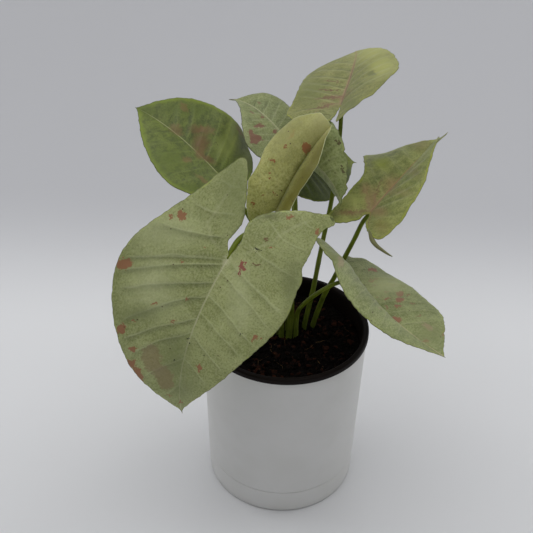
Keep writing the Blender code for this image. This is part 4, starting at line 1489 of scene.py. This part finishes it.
@dataclass(frozen=True)
class Turned:
    """A pot or tray turned about its axis, finer than its solid.

    profile: its closed section from the middle of the underside round to the middle of the floor, as (radius,
    height). drains: how many holes its floor has. hole: their radius. circle: radius of the circle they stand on.
    corner: how far from its point each corner's rounding starts. sharp: degrees from which an edge stays sharp.
    """

    name: str
    node: str
    slot: str
    profile: tuple
    drains: int = 0
    hole: float = 0.0
    circle: float = 0.0
    sides: int = 180
    hole_sides: int = 24
    corner: float = 0.45
    sharp: float = 50.0

    def section(self) -> np.ndarray:
        """The profile with every inner corner rounded by three steps.

        Returns:
            Its points as (radius, height).
        """
        corners = np.array(self.profile, float)
        line = [corners[0]]
        for before, place, after in zip(corners, corners[1:], corners[2:]):
            near, far = before - place, after - place
            cut = min(self.corner, 0.4 * np.linalg.norm(near), 0.4 * np.linalg.norm(far))
            start = place + cut * near / np.linalg.norm(near)
            end = place + cut * far / np.linalg.norm(far)
            line += [(1 - t) ** 2 * start + 2 * t * (1 - t) * place + t * t * end for t in (0.0, 0.33, 0.67, 1.0)]
        return np.array(line + [corners[-1]])

    def wall(self) -> tuple[np.ndarray, list, list, list]:
        """The turned surface without the two floor faces.

        Returns:
            The points, the faces, and the outermost rings of the two floor faces.
        """
        section = self.section()
        while section[1][1] == section[0][1] and section[2][1] == section[0][1]:
            section = np.delete(section, 1, 0)
        rings = section[1:-1]
        angles = np.linspace(0.0, FULL_TURN, self.sides, endpoint=False)
        points = np.array([(r * math.cos(a), r * math.sin(a), z) for r, z in rings for a in angles])
        last = (len(rings) - 1) * self.sides
        return points, bands(len(rings), self.sides), list(range(self.sides)), list(range(last, last + self.sides))

    def drain(self, built: bmesh.types.BMesh, number: int, height: float) -> list:
        """The corners of one hole.

        Args:
            built: The mesh that they go into.
            number: Which hole of the circle it is.
            height: Height of the floor face.

        Returns:
            The new corners in order.
        """
        turn = FULL_TURN * number / self.drains
        middle = self.circle * np.array([math.cos(turn), math.sin(turn)])
        around = [middle + self.hole * np.array([math.cos(a), math.sin(a)])
                  for a in np.linspace(0.0, FULL_TURN, self.hole_sides, endpoint=False)]
        return [built.verts.new((*(place * MM), height * MM)) for place in around]

    def build(self, material: Material) -> None:
        """Builds the piece and puts it in the place of its solid.

        Args:
            material: What it is made of.
        """
        points, faces, below, above = self.wall()
        built = bmesh.new()
        corners = [built.verts.new(point * MM) for point in points]
        for face in faces:
            built.faces.new([corners[k] for k in face])
        rims = {}
        for ring, height in ((below, points[below[0]][2]), (above, points[above[0]][2])):
            holes = [self.drain(built, number, height) for number in range(self.drains)]
            edges = []
            for loop in [[corners[k] for k in ring]] + holes:
                for a, b in zip(loop, loop[1:] + loop[:1]):
                    edges.append(built.edges.get((a, b)) or built.edges.new((a, b)))
            bmesh.ops.triangle_fill(built, use_beauty=True, use_dissolve=False, edges=edges)
            rims[height] = holes
        low, high = rims.values()
        for first, second in zip(low, high):
            for k in range(self.hole_sides):
                after = (k + 1) % self.hole_sides
                built.faces.new((first[k], first[after], second[after], second[k]))
        bmesh.ops.recalc_face_normals(built, faces=built.faces[:])
        data = bpy.data.meshes.new(self.name)
        built.to_mesh(data)
        built.free()
        data.materials.append(material)
        data.polygons.foreach_set("use_smooth", [True] * len(data.polygons))
        data.set_sharp_from_angle(angle=math.radians(self.sharp))
        hand_over(linked(self.name, data), self.node)


@dataclass(frozen=True)
class Pots:
    """The cover pot, its tray and the grow pot, with their materials.

    white and dull: the two tones of the white plastic. dust: a dye low on it. brown and dusty: of the grow pot.
    """

    white: str = "#D6D6D4"
    dull: str = "#D1D1CE"
    dust: str = "#D2D0CB"
    brown: str = "#120B08"
    dusty: str = "#1B110D"

    def moulded_white(self) -> Material:
        """Injection-moulded polypropylene: faint satin haze and dust low down.

        Returns:
            The finished material.
        """
        graph = Graph("moulded polypropylene, satin white")
        place = graph.millimetres()
        cloud = graph.add("TexNoise", {}, {"Vector": place, "Scale": 1 / 30.0, "Detail": 3.0})
        mask = graph.add("MapRange", SMOOTH, {"Value": cloud, "From Min": 0.35, "From Max": 0.75})
        color = graph.add("Mix", COLOR, {0: mask, 6: linear(self.white), 7: linear(self.dull)}, 2)
        height = graph.add("SeparateXYZ", {}, {0: place}, "Z")
        low = graph.add("MapRange", SMOOTH, {"Value": height, "From Min": 8.0, "From Max": 0.0, "To Max": 0.2})
        color = graph.add("Mix", MULTIPLY, {0: low, 6: color, 7: linear(self.dust)}, 2)
        # The mould's spark-eroded texture is about 0.1 mm. It is drawn at 0.3 mm so that it shows.
        grain = graph.add("TexNoise", {}, {"Vector": place, "Scale": 1 / 0.3, "Detail": 2.0})
        bump = graph.add("Bump", {}, {"Height": grain, "Strength": 0.2, "Distance": 0.04 * MM})
        shine = graph.add("MapRange", {}, {"Value": cloud, "To Min": 0.4, "To Max": 0.46})
        shader = graph.add("BsdfPrincipled", {}, {"Base Color": color, "Roughness": shine, "Normal": bump,
                                                  "IOR": 1.49, "Subsurface Weight": 0.08,
                                                  "Subsurface Radius": (1.0, 1.0, 0.9),
                                                  "Subsurface Scale": 1.0 * MM})
        return graph.finish(shader)

    def drawn_brown(self) -> Material:
        """Vacuum-formed polystyrene: dark brown, dull, with fine dust and a soft highlight on its rim.

        Returns:
            The finished material.
        """
        graph = Graph("vacuum-formed polystyrene, dark brown")
        place = graph.millimetres()
        cloud = graph.add("TexNoise", {}, {"Vector": place, "Scale": 1 / 6.0, "Detail": 4.0})
        mask = graph.add("MapRange", SMOOTH, {"Value": cloud, "From Min": 0.5, "From Max": 0.8, "To Max": 0.6})
        color = graph.add("Mix", COLOR, {0: mask, 6: linear(self.brown), 7: linear(self.dusty)}, 2)
        grain = graph.add("TexNoise", {}, {"Vector": place, "Scale": 1 / 0.4, "Detail": 2.0})
        bump = graph.add("Bump", {}, {"Height": grain, "Strength": 0.3, "Distance": 0.08 * MM})
        shine = graph.add("MapRange", {}, {"Value": cloud, "To Min": 0.5, "To Max": 0.62})
        shader = graph.add("BsdfPrincipled", {}, {"Base Color": color, "Roughness": shine, "Normal": bump,
                                                  "IOR": 1.5, "Specular IOR Level": 0.1})
        return graph.finish(shader)

    def build(self) -> None:
        """Builds the three pieces."""
        white = self.moulded_white()
        brown = self.drawn_brown()
        TRAY.build(white)
        COVER_POT.build(white)
        GROW_POT.build(brown)


TRAY = Turned("drip_tray_moulded", "drip_tray", "tray_white", (
    (0.0, 0.0), (48.9, 0.0), (50.3, 0.5), (50.9, 1.9), (51.4, 18.6), (51.1, 19.0), (49.85, 19.0), (49.65, 18.7),
    (49.15, 3.2), (48.15, 2.0), (0.0, 2.0)))
COVER_POT = Turned("cover_pot_moulded", "cover_pot", "cover_white", (
    (0.0, 2.3), (47.5, 2.3), (48.8, 3.6), (49.3, 19.3), (51.25, 19.3), (51.45, 19.6), (53.95, 123.0),
    (53.55, 123.5), (52.55, 123.5), (52.15, 123.0), (49.65, 21.7), (47.5, 18.7), (47.1, 5.5), (46.1, 4.3),
    (0.0, 4.3)), drains=5, hole=3.5, circle=28.0)
GROW_POT = Turned("grow_pot_drawn", "grow_pot", "grow_brown", (
    (0.0, 13.0), (42.6, 13.0), (43.9, 14.2), (51.75, 122.0), (51.75, 123.8), (54.25, 123.8), (54.25, 121.2),
    (55.0, 121.2), (55.0, 124.2), (54.3, 125.0), (52.3, 125.0), (51.5, 124.3), (50.8, 122.0), (42.95, 15.6),
    (41.95, 14.4), (0.0, 14.4)), drains=6, hole=4.0, circle=30.0)


FRONT_FINISH = BladeFinish(
    face="#A9AF78", deep="#959C63", haze="#BEC292", vein="#C9CEA1", rib="#CBCCA3", lime="#ABB362",
    under="#8F9766", under_vein="#A7AE7B", lime_width=0.8, vein_gain=0.3, haze_gain=0.4,
    speck_gain=0.8, mottle=0.3, rib_width=0.65, speck_step=5.5, markings=(
        Marking("#CBCBA4", Edge.SOFT, 0.55, ((1.5, 0, 4.0, 1.8),)),
        # Painted shade in the curl of the right lobe's rolled tip.
        Marking("#404B1B", Edge.SOFT, 0.8, ((-57, 38, 1.9, 1.5),)),
        # Painted shade on the right lobe, where the leaves above keep the light off.
        Marking("#7A8351", Edge.FAINT, 0.6, ((-34, -20, 18, 8, 49),)),
        # Painted shade on the left lobe by the notch, under the leaves above.
        Marking("#545930", Edge.FAINT, 0.7, ((-33, 3.8, 9, 3.6, 123),)),
        # Paler zones: partly the leaf's own paler sage, partly painted light.
        Marking("#C2C798", Edge.FAINT, 0.45, ((3.3, -41, 18, 8, 116), (30.5, -31, 15, 11, 39),
                                             (17, 17.5, 17, 6, 26))),
        # Painted shade where the blade turns down and away from the light.
        Marking("#7C8453", Edge.FAINT, 0.65, ((46, -33, 11, 4, 106), (84, 2, 11, 8, 153),
                                              (-2.0, 41, 18, 5, 29), (66, -4, 16, 9, 10))),
        Marking("#9A6949", Edge.CRISP, 0.92, (
            (-8.5, -34.5, 3.3, 1.8, 38), (-5.2, -39.6, 1.5, 1.3, 53), (26.2, -51.0, 4.3, 2.9, 106),
            (12.6, -21.8, 0.9, 0.6), (56.2, -39.1, 2.6, 2.5), (50.5, -33.9, 1.4, 0.6, 105),
            (44.1, -12.5, 1.7, 0.6, 108), (38.7, -26.6, 1.4, 0.5, 109), (0.3, -14.2, 0.6, 0.6), (30, -9.6, 0.6, 0.6),
            (64.8, -30.1, 2.3, 1.4, 102), (73.6, -29.5, 2.9, 2.6), (78.5, -25.8, 3.7, 2.6), (82.0, -22.9, 3.2, 1.8),
            (66.7, 10.1, 2.7, 1.2, 9), (91.5, -6.4, 1.5, 0.7), (96.5, 0.6, 1.8, 0.7, 170), (34.9, 34.8, 2.0, 1.4),
            (33.4, 37.3, 0.9, 0.7), (-39.8, 17.5, 2.0, 1.3, 131), (-42.7, 35.5, 1.7, 1.4),
            (-18.7, 17.8, 1.4, 0.7, 123))),
        Marking("#8A7554", Edge.CRISP, 0.6, ((67.9, -18.5, 8.3, 5.6, 12), (79.0, -9.5, 8.6, 5.2, 20),
                                             (73.5, -14.5, 5.0, 3.6))),
        Marking("#924B44", Edge.CRISP, 0.9, ((-1.0, 9.2, 2.3, 2.0), (3.8, 10.6, 1.1, 0.6, 29))),
        Marking("#6E4A32", Edge.CRISP, 0.8, ((-5.5, 15.8, 2.3, 0.6, 120), (-21, 13.6, 1.7, 0.9, 123))),
        Marking("#14140A", Edge.CRISP, 0.95, (
            (-13.1, 12.0, 2.3, 0.7, 121), (51.4, -1, 0.5, 0.5), (54, 0.1, 0.5, 0.5), (57.4, 10.6, 0.55, 0.55),
            (66.2, -4.7, 0.45, 0.45), (35.9, 26.8, 0.5, 0.5))),
    ),
)
LEFT_FINISH = BladeFinish(
    face="#67732B", deep="#596623", haze="#7A883A", vein="#838E43", rib="#A8AA79", lime="#738317", rim="#40440F",
    under="#6B7A31", under_vein="#869348", lime_width=3.8, vein_gain=0.2, haze_gain=0.3, speck="#3A2818",
    speck_gain=0.6, rib_width=0.7, mottle=0.9, markings=(
        # Painted light: paler lime on the right half, where it curves away from the lamps.
        Marking("#87914C", Edge.FAINT, 0.65, ((9.8, -32, 13, 5.5, 115), (-5.6, -32, 11, 4, 113),
                                             (9.5, -17.8, 9, 6, 100), (14, -42, 7, 5))),
        Marking("#536211", Edge.FAINT, 0.7, ((24.4, 30, 14, 8, 87), (61, -1.6, 8, 5), (40.9, -18, 14, 3.6, 49),
                                            (4.6, 41, 13, 3, 59))),
        Marking("#6C4C2A", Edge.FAINT, 0.75, ((20.7, -7.4, 6.2, 4.2, 108), (12.5, -1.8, 5.5, 1.8, 20),
                                            (27.6, -13, 4.5, 2.4, 60))),
        Marking("#7C5D38", Edge.SOFT, 0.5, (
            (36.6, -2.2, 4.1, 3.5), (23.5, -18.6, 5.4, 2.6, 66), (18.2, 16.8, 4.5, 2.1, 85),
            (16.3, 0.3, 6.2, 2.6, 101), (42, -17.7, 2.8, 1.8), (10.4, -44.4, 4.5, 2.2), (1.6, 25.1, 6, 2.3))),
        Marking("#382B0F", Edge.CRISP, 0.8, ((30.3, -2.5, 0.6, 0.6), (14.3, -16.7, 0.6, 0.6),
                                             (37.6, -19, 0.6, 0.6))),
    ),
)
REAR_FINISH = BladeFinish(
    face="#878E5C", deep="#757D4D", haze="#9BA274", vein="#A6AA7F", rib="#A6A881", lime="#8A9354", rim="#34321E",
    under="#878F64", under_vein="#A3A87D", lime_width=0.5, vein_gain=0.22, haze_gain=0.5,
    speck_gain=0.7, markings=(
        Marking("#714535", Edge.CRISP, 0.85, (
            (21.0, 3.5, 2.6, 0.8, 126), (15.1, 12.9, 4.3, 1.7, 77), (12.0, 23.2, 3.5, 1.9, 126),
            (7.6, 23.7, 4.5, 3.0, 88), (7.6, 4.6, 2.6, 1.1, 123), (26.3, 7.6, 1.5, 0.8), (31.5, -5.8, 1, 0.9))),
    ),
)
FOLDED_FINISH = BladeFinish(
    face="#B8B671", deep="#A5A45D", haze="#C6C888", vein="#CACC92", rib="#ABA65C", lime="#9E9F3E", rim="#B4B890",
    under="#84853D", under_vein="#9A9A54", lime_width=0.6, vein_gain=0.06, haze_gain=0.4,
    speck_gain=0.95, mottle=0.5, speck_step=3.6, markings=(
        # Painted highlight on the bent-over crown near the tip.
        Marking("#C8C58A", Edge.FAINT, 0.6, ((56, 3, 6, 9),)),
        # Painted shade on the crown, left of the midrib.
        Marking("#8C8B50", Edge.FAINT, 0.7, ((40, 18, 17, 12, 20), (46, 4, 13, 9))),
        Marking("#8A542E", Edge.CRISP, 0.92, (
            (39.1, 2.9, 3.7, 2.6, 37), (22.3, 16.6, 1.4, 0.8, 111), (15.7, 13.5, 0.9, 0.6), (13.8, 12.3, 0.9, 0.7),
            (3.3, 12.2, 0.9, 0.5), (-3.7, 14.8, 1.8, 1.1), (7.6, 6.4, 0.9, 0.6), (32.6, 13.5, 1, 0.6))),
        Marking("#9F8950", Edge.SOFT, 0.5, ((39.5, 15, 2.8, 0.9), (18.3, 23, 1, 0.6))),
        # Painted light and shade on the narrow right half: the yellow of light through the blade, darkened for its
        # shade.
        Marking("#625E02", Edge.FAINT, 0.98, ((44, -13.5, 22, 9), (25, -14.5, 20, 9.5),
                                             (9, -14.5, 18, 9, 170))),
        # Painted shade along the crease of the midrib.
        Marking("#525517", Edge.FAINT, 0.7, ((28.7, -1.0, 14, 2.6, 0), (10, -2.5, 12, 3.4, 0))),
    ),
)
TOP_FINISH = BladeFinish(
    face="#8B8C55", deep="#7D804A", haze="#9A9D65", vein="#A3A470", rib="#90785C", lime="#92983D",
    under="#7D8551", under_vein="#979D6A", lime_width=1.6, vein_gain=0.4, haze_gain=0.35,
    speck_gain=0.5, rib_width=1.8, mottle=0.6, markings=(
        Marking("#A7A960", Edge.FAINT, 0.7, ((56, -12, 22, 10, 20), (22, -24, 16, 7, 24))),
        Marking("#6D733F", Edge.FAINT, 0.75, ((16.0, 24, 17, 8, 20), (-11, -12, 12, 4, 47))),
        Marking("#6C4C39", Edge.SOFT, 0.8, ((5.7, 8.4, 9, 1.0, 97), (-3.0, 10.5, 8.5, 0.9, 112),
                                            (14, 10.5, 8, 0.7, 75), (24, 11, 7, 0.6, 68))),
        Marking("#60653B", Edge.SOFT, 0.7, ((14.9, -20.2, 5.3, 2.0, 44),)),
        Marking("#81634A", Edge.FAINT, 0.6, ((5.9, 1.0, 7.4, 2.4, 90), (-1.1, 6.8, 5, 1.6, 89))),
    ),
)
RIGHT_FINISH = BladeFinish(
    face="#989D5B", deep="#80894B", haze="#ABAD6F", vein="#B4B37D", rib="#A0825E", lime="#99A137",
    under="#868D57", under_vein="#A2A772", lime_width=2.4, vein_gain=0.16, haze_gain=0.35,
    speck_gain=0.5, rib_width=1.4, mottle=0.7, markings=(
        Marking("#73533B", Edge.SOFT, 0.55, ((-4, 7, 10, 0.8, 120), (5, 8, 9, 0.8, 55), (-6, -6, 9, 0.8, 45),
                                             (12, 6, 12, 0.8, 28))),
        Marking("#5B5636", Edge.SOFT, 0.7, ((-31, -28, 14, 4),)),
        Marking("#937354", Edge.FAINT, 0.6, (
            (6.6, 5.4, 9.4, 4.3, 46), (20.7, 1.1, 7.5, 4.8, 55), (0.4, -7.8, 9.1, 2.8, 89),
            (-7.5, 11.2, 7.8, 1.8, 118), (10.7, 14.3, 5.3, 3, 51))),
        Marking("#8A7D54", Edge.FAINT, 0.5, ((30.5, -13, 13.9, 2.5, 72), (14.8, -16.9, 10.7, 2.0, 91))),
        Marking("#919A24", Edge.FAINT, 0.85, ((35.6, 26.3, 9.5, 4.6, 66),)),
        # Painted light (the paler patches) and painted shade (the darker ones) of waves that the blade's shape leaves
        # out.
        Marking("#AFB267", Edge.FAINT, 0.7, ((-0.1, 19, 9, 5, 104), (-12.8, 11, 5, 2.4, 114))),
        Marking("#7B713B", Edge.FAINT, 0.6, ((-9, -22, 9, 4.5, 69), (60, 12, 13, 5, 59))),
    ),
)
LOW_FINISH = BladeFinish(
    face="#979F6A", deep="#848D59", haze="#AAAD81", vein="#B3B58A", rib="#BCAF8D", lime="#96A051",
    under="#818A59", under_vein="#9DA276", lime_width=1.2, vein_gain=0.2, haze_gain=0.5,
    speck_gain=0.8, mottle=0.5, speck_step=4.0, markings=(
        Marking("#8F624E", Edge.CRISP, 0.7, (
            (6, 17, 0.6, 2.4), (11, 10, 0.5, 2.0), (15, 24, 0.5, 2.6), (19, 14, 0.5, 2.2), (27, 27, 0.5, 2.4),
            (35, 22, 0.5, 2.0), (46, 15, 0.5, 2.4), (20, 5, 1.6, 0.5), (30, 3.5, 2.2, 0.5), (9, 3, 1.2, 0.5))),
        Marking("#94604B", Edge.CRISP, 0.85, (
            (-2.9, 22.8, 4.5, 1.5, 90), (6.6, 12.8, 2.6, 0.8, 73), (23.8, 22, 3.7, 2.2, 101),
            (28.4, 16.5, 3.6, 2.3, 91), (32.2, 11, 2.7, 1.4, 67), (23.7, 8.9, 2.7, 1.4, 69),
            (40.3, 1.1, 3.7, 2.4, 60), (67.4, 13.6, 1.3, 1.1), (62.9, 1.9, 2, 0.8, 46))),
        # Painted light on the far, left half, which the lamps reach less.
        Marking("#B3B884", Edge.FAINT, 0.8, ((12.9, 19, 14, 8, 92),)),
        Marking("#7D8353", Edge.FAINT, 0.7, ((-5.8, -28, 14, 4, 119), (62, 8, 9, 7, 110))),
        Marking("#A28872", Edge.SOFT, 0.5, ((0.1, -29, 6.5, 2.2, 128), (56.4, 12.1, 3.7, 2.2),
                                           (33.3, -12.9, 2.8, 0.7, 107))),
    ),
)
SHADED_FINISH = BladeFinish(
    face="#ACB579", deep="#909C62", haze="#BDC493", vein="#C3C897", rib="#BBC093", lime="#A0A962",
    under="#94A067", under_vein="#B2B98B", lime_width=0.8, vein_gain=0.25, haze_gain=0.3,
    speck_gain=0.6, markings=(
        Marking("#56432D", Edge.CRISP, 0.8, ((11, 19.2, 1.3, 0.6, 118), (20.3, 10, 2.2, 0.7))),
    ),
)
# Painted shade: the inner leaf is coloured dark for the shade of the leaf above it, and the lime patch at its tip is
# painted light where it reaches out of that shade.
INNER_FINISH = BladeFinish(
    face="#4A590F", deep="#3E4A0B", haze="#5A6717", vein="#626F1C", rib="#626F1C", lime="#7A8717", rim="#3A3C14",
    under="#4E5B14", under_vein="#5E6B1C", lime_width=1.2, vein_gain=0.3, haze_gain=0.25, speck="#2A1C10",
    speck_gain=0.3, markings=(Marking("#768218", Edge.FAINT, 0.85, ((44, 0, 9, 8),)),),
)

FRONT_VEINS_LEFT = Veins((0.22, 0.40, 0.55, 0.68, 0.79, 0.93), (0.15, 0.32, 0.46, 0.62, 0.73, 0.88))
FRONT_VEINS_RIGHT = Veins((0.22, 0.40, 0.56, 0.64, 0.78, 0.86, 0.97), (0.16, 0.34, 0.50, 0.59, 0.67, 0.85, 0.93))

BLADES = (
    LeafBlade(FRONT, FRONT_FINISH, Relief(0.32, 0.85, 4.0, 0.12, FRONT_VEINS_LEFT, FRONT_VEINS_RIGHT, 0.8),
              "blade_pale", fineness=1.15, nudges=(
                  Nudge(1, 0.706, 3.6, 4.6), Nudge(1, 0.60, 9.0, 2.4), Nudge(1, 0.522, 5.0, 2.2),
                  Nudge(-1, 0.757, 3.5, 1.4))),
    LeafBlade(LEFT, LEFT_FINISH, Relief(0.4, 0.4, 3.0), "blade_green", fineness=1.2),
    LeafBlade(REAR, REAR_FINISH, Relief(0.35, 0.35, 2.0), "blade_green", fineness=1.1),
    LeafBlade(FOLDED, FOLDED_FINISH, Relief(0.07, 0.07, 2.0), "blade_pale", fineness=1.2, nudges=(
        Nudge(1, 0.24, 11.0, 1.5), Nudge(1, 0.09, 8.0, 5.0), Nudge(-1, 0.05, 4.0, 1.6), Nudge(1, 0.643, 5.0, 1.8),
        Nudge(1, 0.54, 7.0, -1.5))),
    LeafBlade(TOP, TOP_FINISH, Relief(0.55, 0.5, 3.0, 0.2), "blade_pale", fineness=1.1, nudges=(
        Nudge(-1, 0.81, 2.2, -1.3), Nudge(-1, 0.775, 1.8, 1.2), Nudge(-1, 0.735, 2.4, -1.1),
        Nudge(-1, 0.69, 1.8, 1.0))),
    LeafBlade(RIGHT, RIGHT_FINISH, Relief(0.5, 0.5, 3.0, 0.2), "blade_green", fineness=1.1, nudges=(
        Nudge(1, 0.10, 7.0, 2.2), Nudge(1, 0.30, 9.0, 0.8), Nudge(-1, 0.45, 4.0, 0.8), Nudge(-1, 0.55, 3.0, -0.8))),
    LeafBlade(LOW, LOW_FINISH, Relief(0.35, 0.3, 3.0, 0.2), "blade_pale", fineness=1.1, nudges=(
        Nudge(1, 0.855, 3.2, 2.4), Nudge(1, 0.81, 2.2, -1.2), Nudge(1, 0.755, 2.6, 1.0), Nudge(1, 0.71, 2.2, -0.8),
        Nudge(1, 0.50, 7.0, 1.2))),
    LeafBlade(SHADED, SHADED_FINISH, Relief(0.45, 0.3, 2.0, 0.4), "blade_green", fineness=1.3),
    LeafBlade(INNER, INNER_FINISH, Relief(0.4, 0.4, 3.0), "blade_dark", fineness=1.0),
)


@dataclass(frozen=True)
class Studio:
    """The camera, the pale paper sweep and the soft lights around the object.

    Its lengths are metres, apart from the lens and the sensor, which are millimetres. down, yaw and roll: the
    camera's tilt below the level, its turn and its lean. bend: the angle through which the paper bends up.
    """

    place: tuple = (0.0, -0.4595, 0.4961)
    down: float = 35.3479
    yaw: float = -1.2974
    roll: float = 1.9859
    lens: float = 60.79
    sensor: float = 36.0
    paper: str = "#DFE0E2"
    cloudy: str = "#A8A8AC"
    far_shade: str = "#D9D9DB"
    half_width: float = 2.6
    bend_start: float = 0.24
    bend_radius: float = 0.6
    bend: float = 80.0
    bend_steps: int = 24
    wall_top: float = 2.2

    def camera(self) -> None:
        """Sets the camera at the photograph's viewing angle."""
        down, yaw, roll = (math.radians(a) for a in (self.down, self.yaw, self.roll))
        ahead = Vector((0.0, math.cos(down), -math.sin(down)))
        right = Vector((1.0, 0.0, 0.0))
        up = right.cross(ahead)
        gaze = math.cos(yaw) * ahead + math.sin(yaw) * right
        aside = math.cos(yaw) * right - math.sin(yaw) * ahead
        across = math.cos(roll) * aside + math.sin(roll) * up
        upward = math.cos(roll) * up - math.sin(roll) * aside
        data = bpy.data.cameras.new("camera")
        data.lens = self.lens
        data.sensor_width = self.sensor
        data.clip_start = 0.01
        item = linked("camera", data)
        axes = Matrix((across, upward, -gaze)).transposed()
        item.matrix_world = Matrix.Translation(self.place) @ axes.to_4x4()
        bpy.context.scene.camera = item

    def sweep(self) -> None:
        """Builds the paper: level under the pot, bent up behind it."""
        profile = [(-2.4, 0.0), (-1.0, 0.0), (0.0, 0.0), (self.bend_start, 0.0)]
        for k in range(1, self.bend_steps + 1):
            angle = math.radians(self.bend) * k / self.bend_steps
            profile.append((self.bend_start + self.bend_radius * math.sin(angle),
                            self.bend_radius * (1.0 - math.cos(angle))))
        profile.append((profile[-1][0] + 0.25, self.wall_top))
        points = [(x, y, z) for y, z in profile for x in (-self.half_width, self.half_width)]
        faces = [(2 * i, 2 * i + 1, 2 * i + 3, 2 * i + 2) for i in range(len(profile) - 1)]
        graph = Graph("seamless paper")
        place = graph.add("TexCoord", {}, {}, "Object")
        # Paper fibre is far finer than a pixel, so only a slow unevenness of about 150 mm shows.
        cloud = graph.add("TexNoise", {}, {"Vector": place, "Scale": 1 / 0.15, "Detail": 1.0})
        mask = graph.add("MapRange", {}, {"Value": cloud, "To Max": 0.04})
        color = graph.add("Mix", COLOR, {0: mask, 6: linear(self.paper), 7: linear(self.cloudy)}, 2)
        # Behind the pot the paper falls off into grey, as in the photograph.
        # Painted shade: this grey stands for the lamps reaching the far paper less.
        far = graph.add("SeparateXYZ", {}, {0: place}, "Y")
        far = graph.add("MapRange", SMOOTH, {"Value": far, "From Min": 0.13, "From Max": 0.36})
        color = graph.add("Mix", MULTIPLY, {0: far, 6: color, 7: linear(self.far_shade)}, 2)
        shader = graph.add("BsdfPrincipled", {}, {"Base Color": color, "Roughness": 0.9, "Specular IOR Level": 0.1})
        mesh = Mesh(np.array(points) / MM, faces, {}, [])
        make_object("paper_sweep", mesh, [graph.finish(shader)])

    def light(self, name: str, place: tuple, target: tuple, size: tuple, power: float, color: str) -> None:
        """Adds a soft rectangular light.

        Args:
            name: Its name.
            place: Where it hangs.
            target: What it faces.
            size: Width and height.
            power: Watts.
            color: sRGB colour.
        """
        data = bpy.data.lights.new(name, "AREA")
        data.shape = "RECTANGLE"
        data.size, data.size_y = size
        data.energy = power
        data.color = linear(color)[:3]
        item = linked(name, data)
        item.location = place
        item.rotation_euler = (Vector(target) - Vector(place)).to_track_quat("-Z", "Y").to_euler()

    def build(self) -> None:
        """Builds camera, sweep, lights and the dim room light."""
        self.camera()
        self.sweep()
        self.light("overhead_softbox", (-0.05, 0.05, 1.2), (0.0, 0.0, 0.1), (1.5, 1.2), 10.2, "#FFFFFF")
        self.light("front_softbox", (0.35, -1.1, 0.35), (0.0, 0.0, 0.06), (0.9, 0.5), 0.8, "#FFFFFF")
        self.light("left_softbox", (-1.0, 0.45, 0.5), (0.0, 0.0, 0.12), (0.8, 0.9), 2.6, "#FFFFFF")
        self.light("right_softbox", (1.0, 0.45, 0.5), (0.0, 0.0, 0.12), (0.8, 0.9), 3.2, "#FFFFFF")
        world = bpy.data.worlds.new("dim_room")
        world.use_nodes = True
        world.node_tree.nodes["Background"].inputs["Color"].default_value = linear("#FCFCFF")
        world.node_tree.nodes["Background"].inputs["Strength"].default_value = 0.18
        bpy.context.scene.world = world
        bpy.context.scene.view_settings.view_transform = "Standard"
        log.info("studio is set")


def main() -> None:
    """Builds every part of the scene in order."""
    logging.basicConfig(level=logging.INFO, format="%(message)s")
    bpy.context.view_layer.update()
    Studio().build()
    Pots().build()
    PottingSoil().build()
    for leaf in LEAVES:
        LeafStalk(leaf).build()
    for blade in BLADES:
        blade.build()
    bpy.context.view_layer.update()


if __name__ == "__main__":
    main()
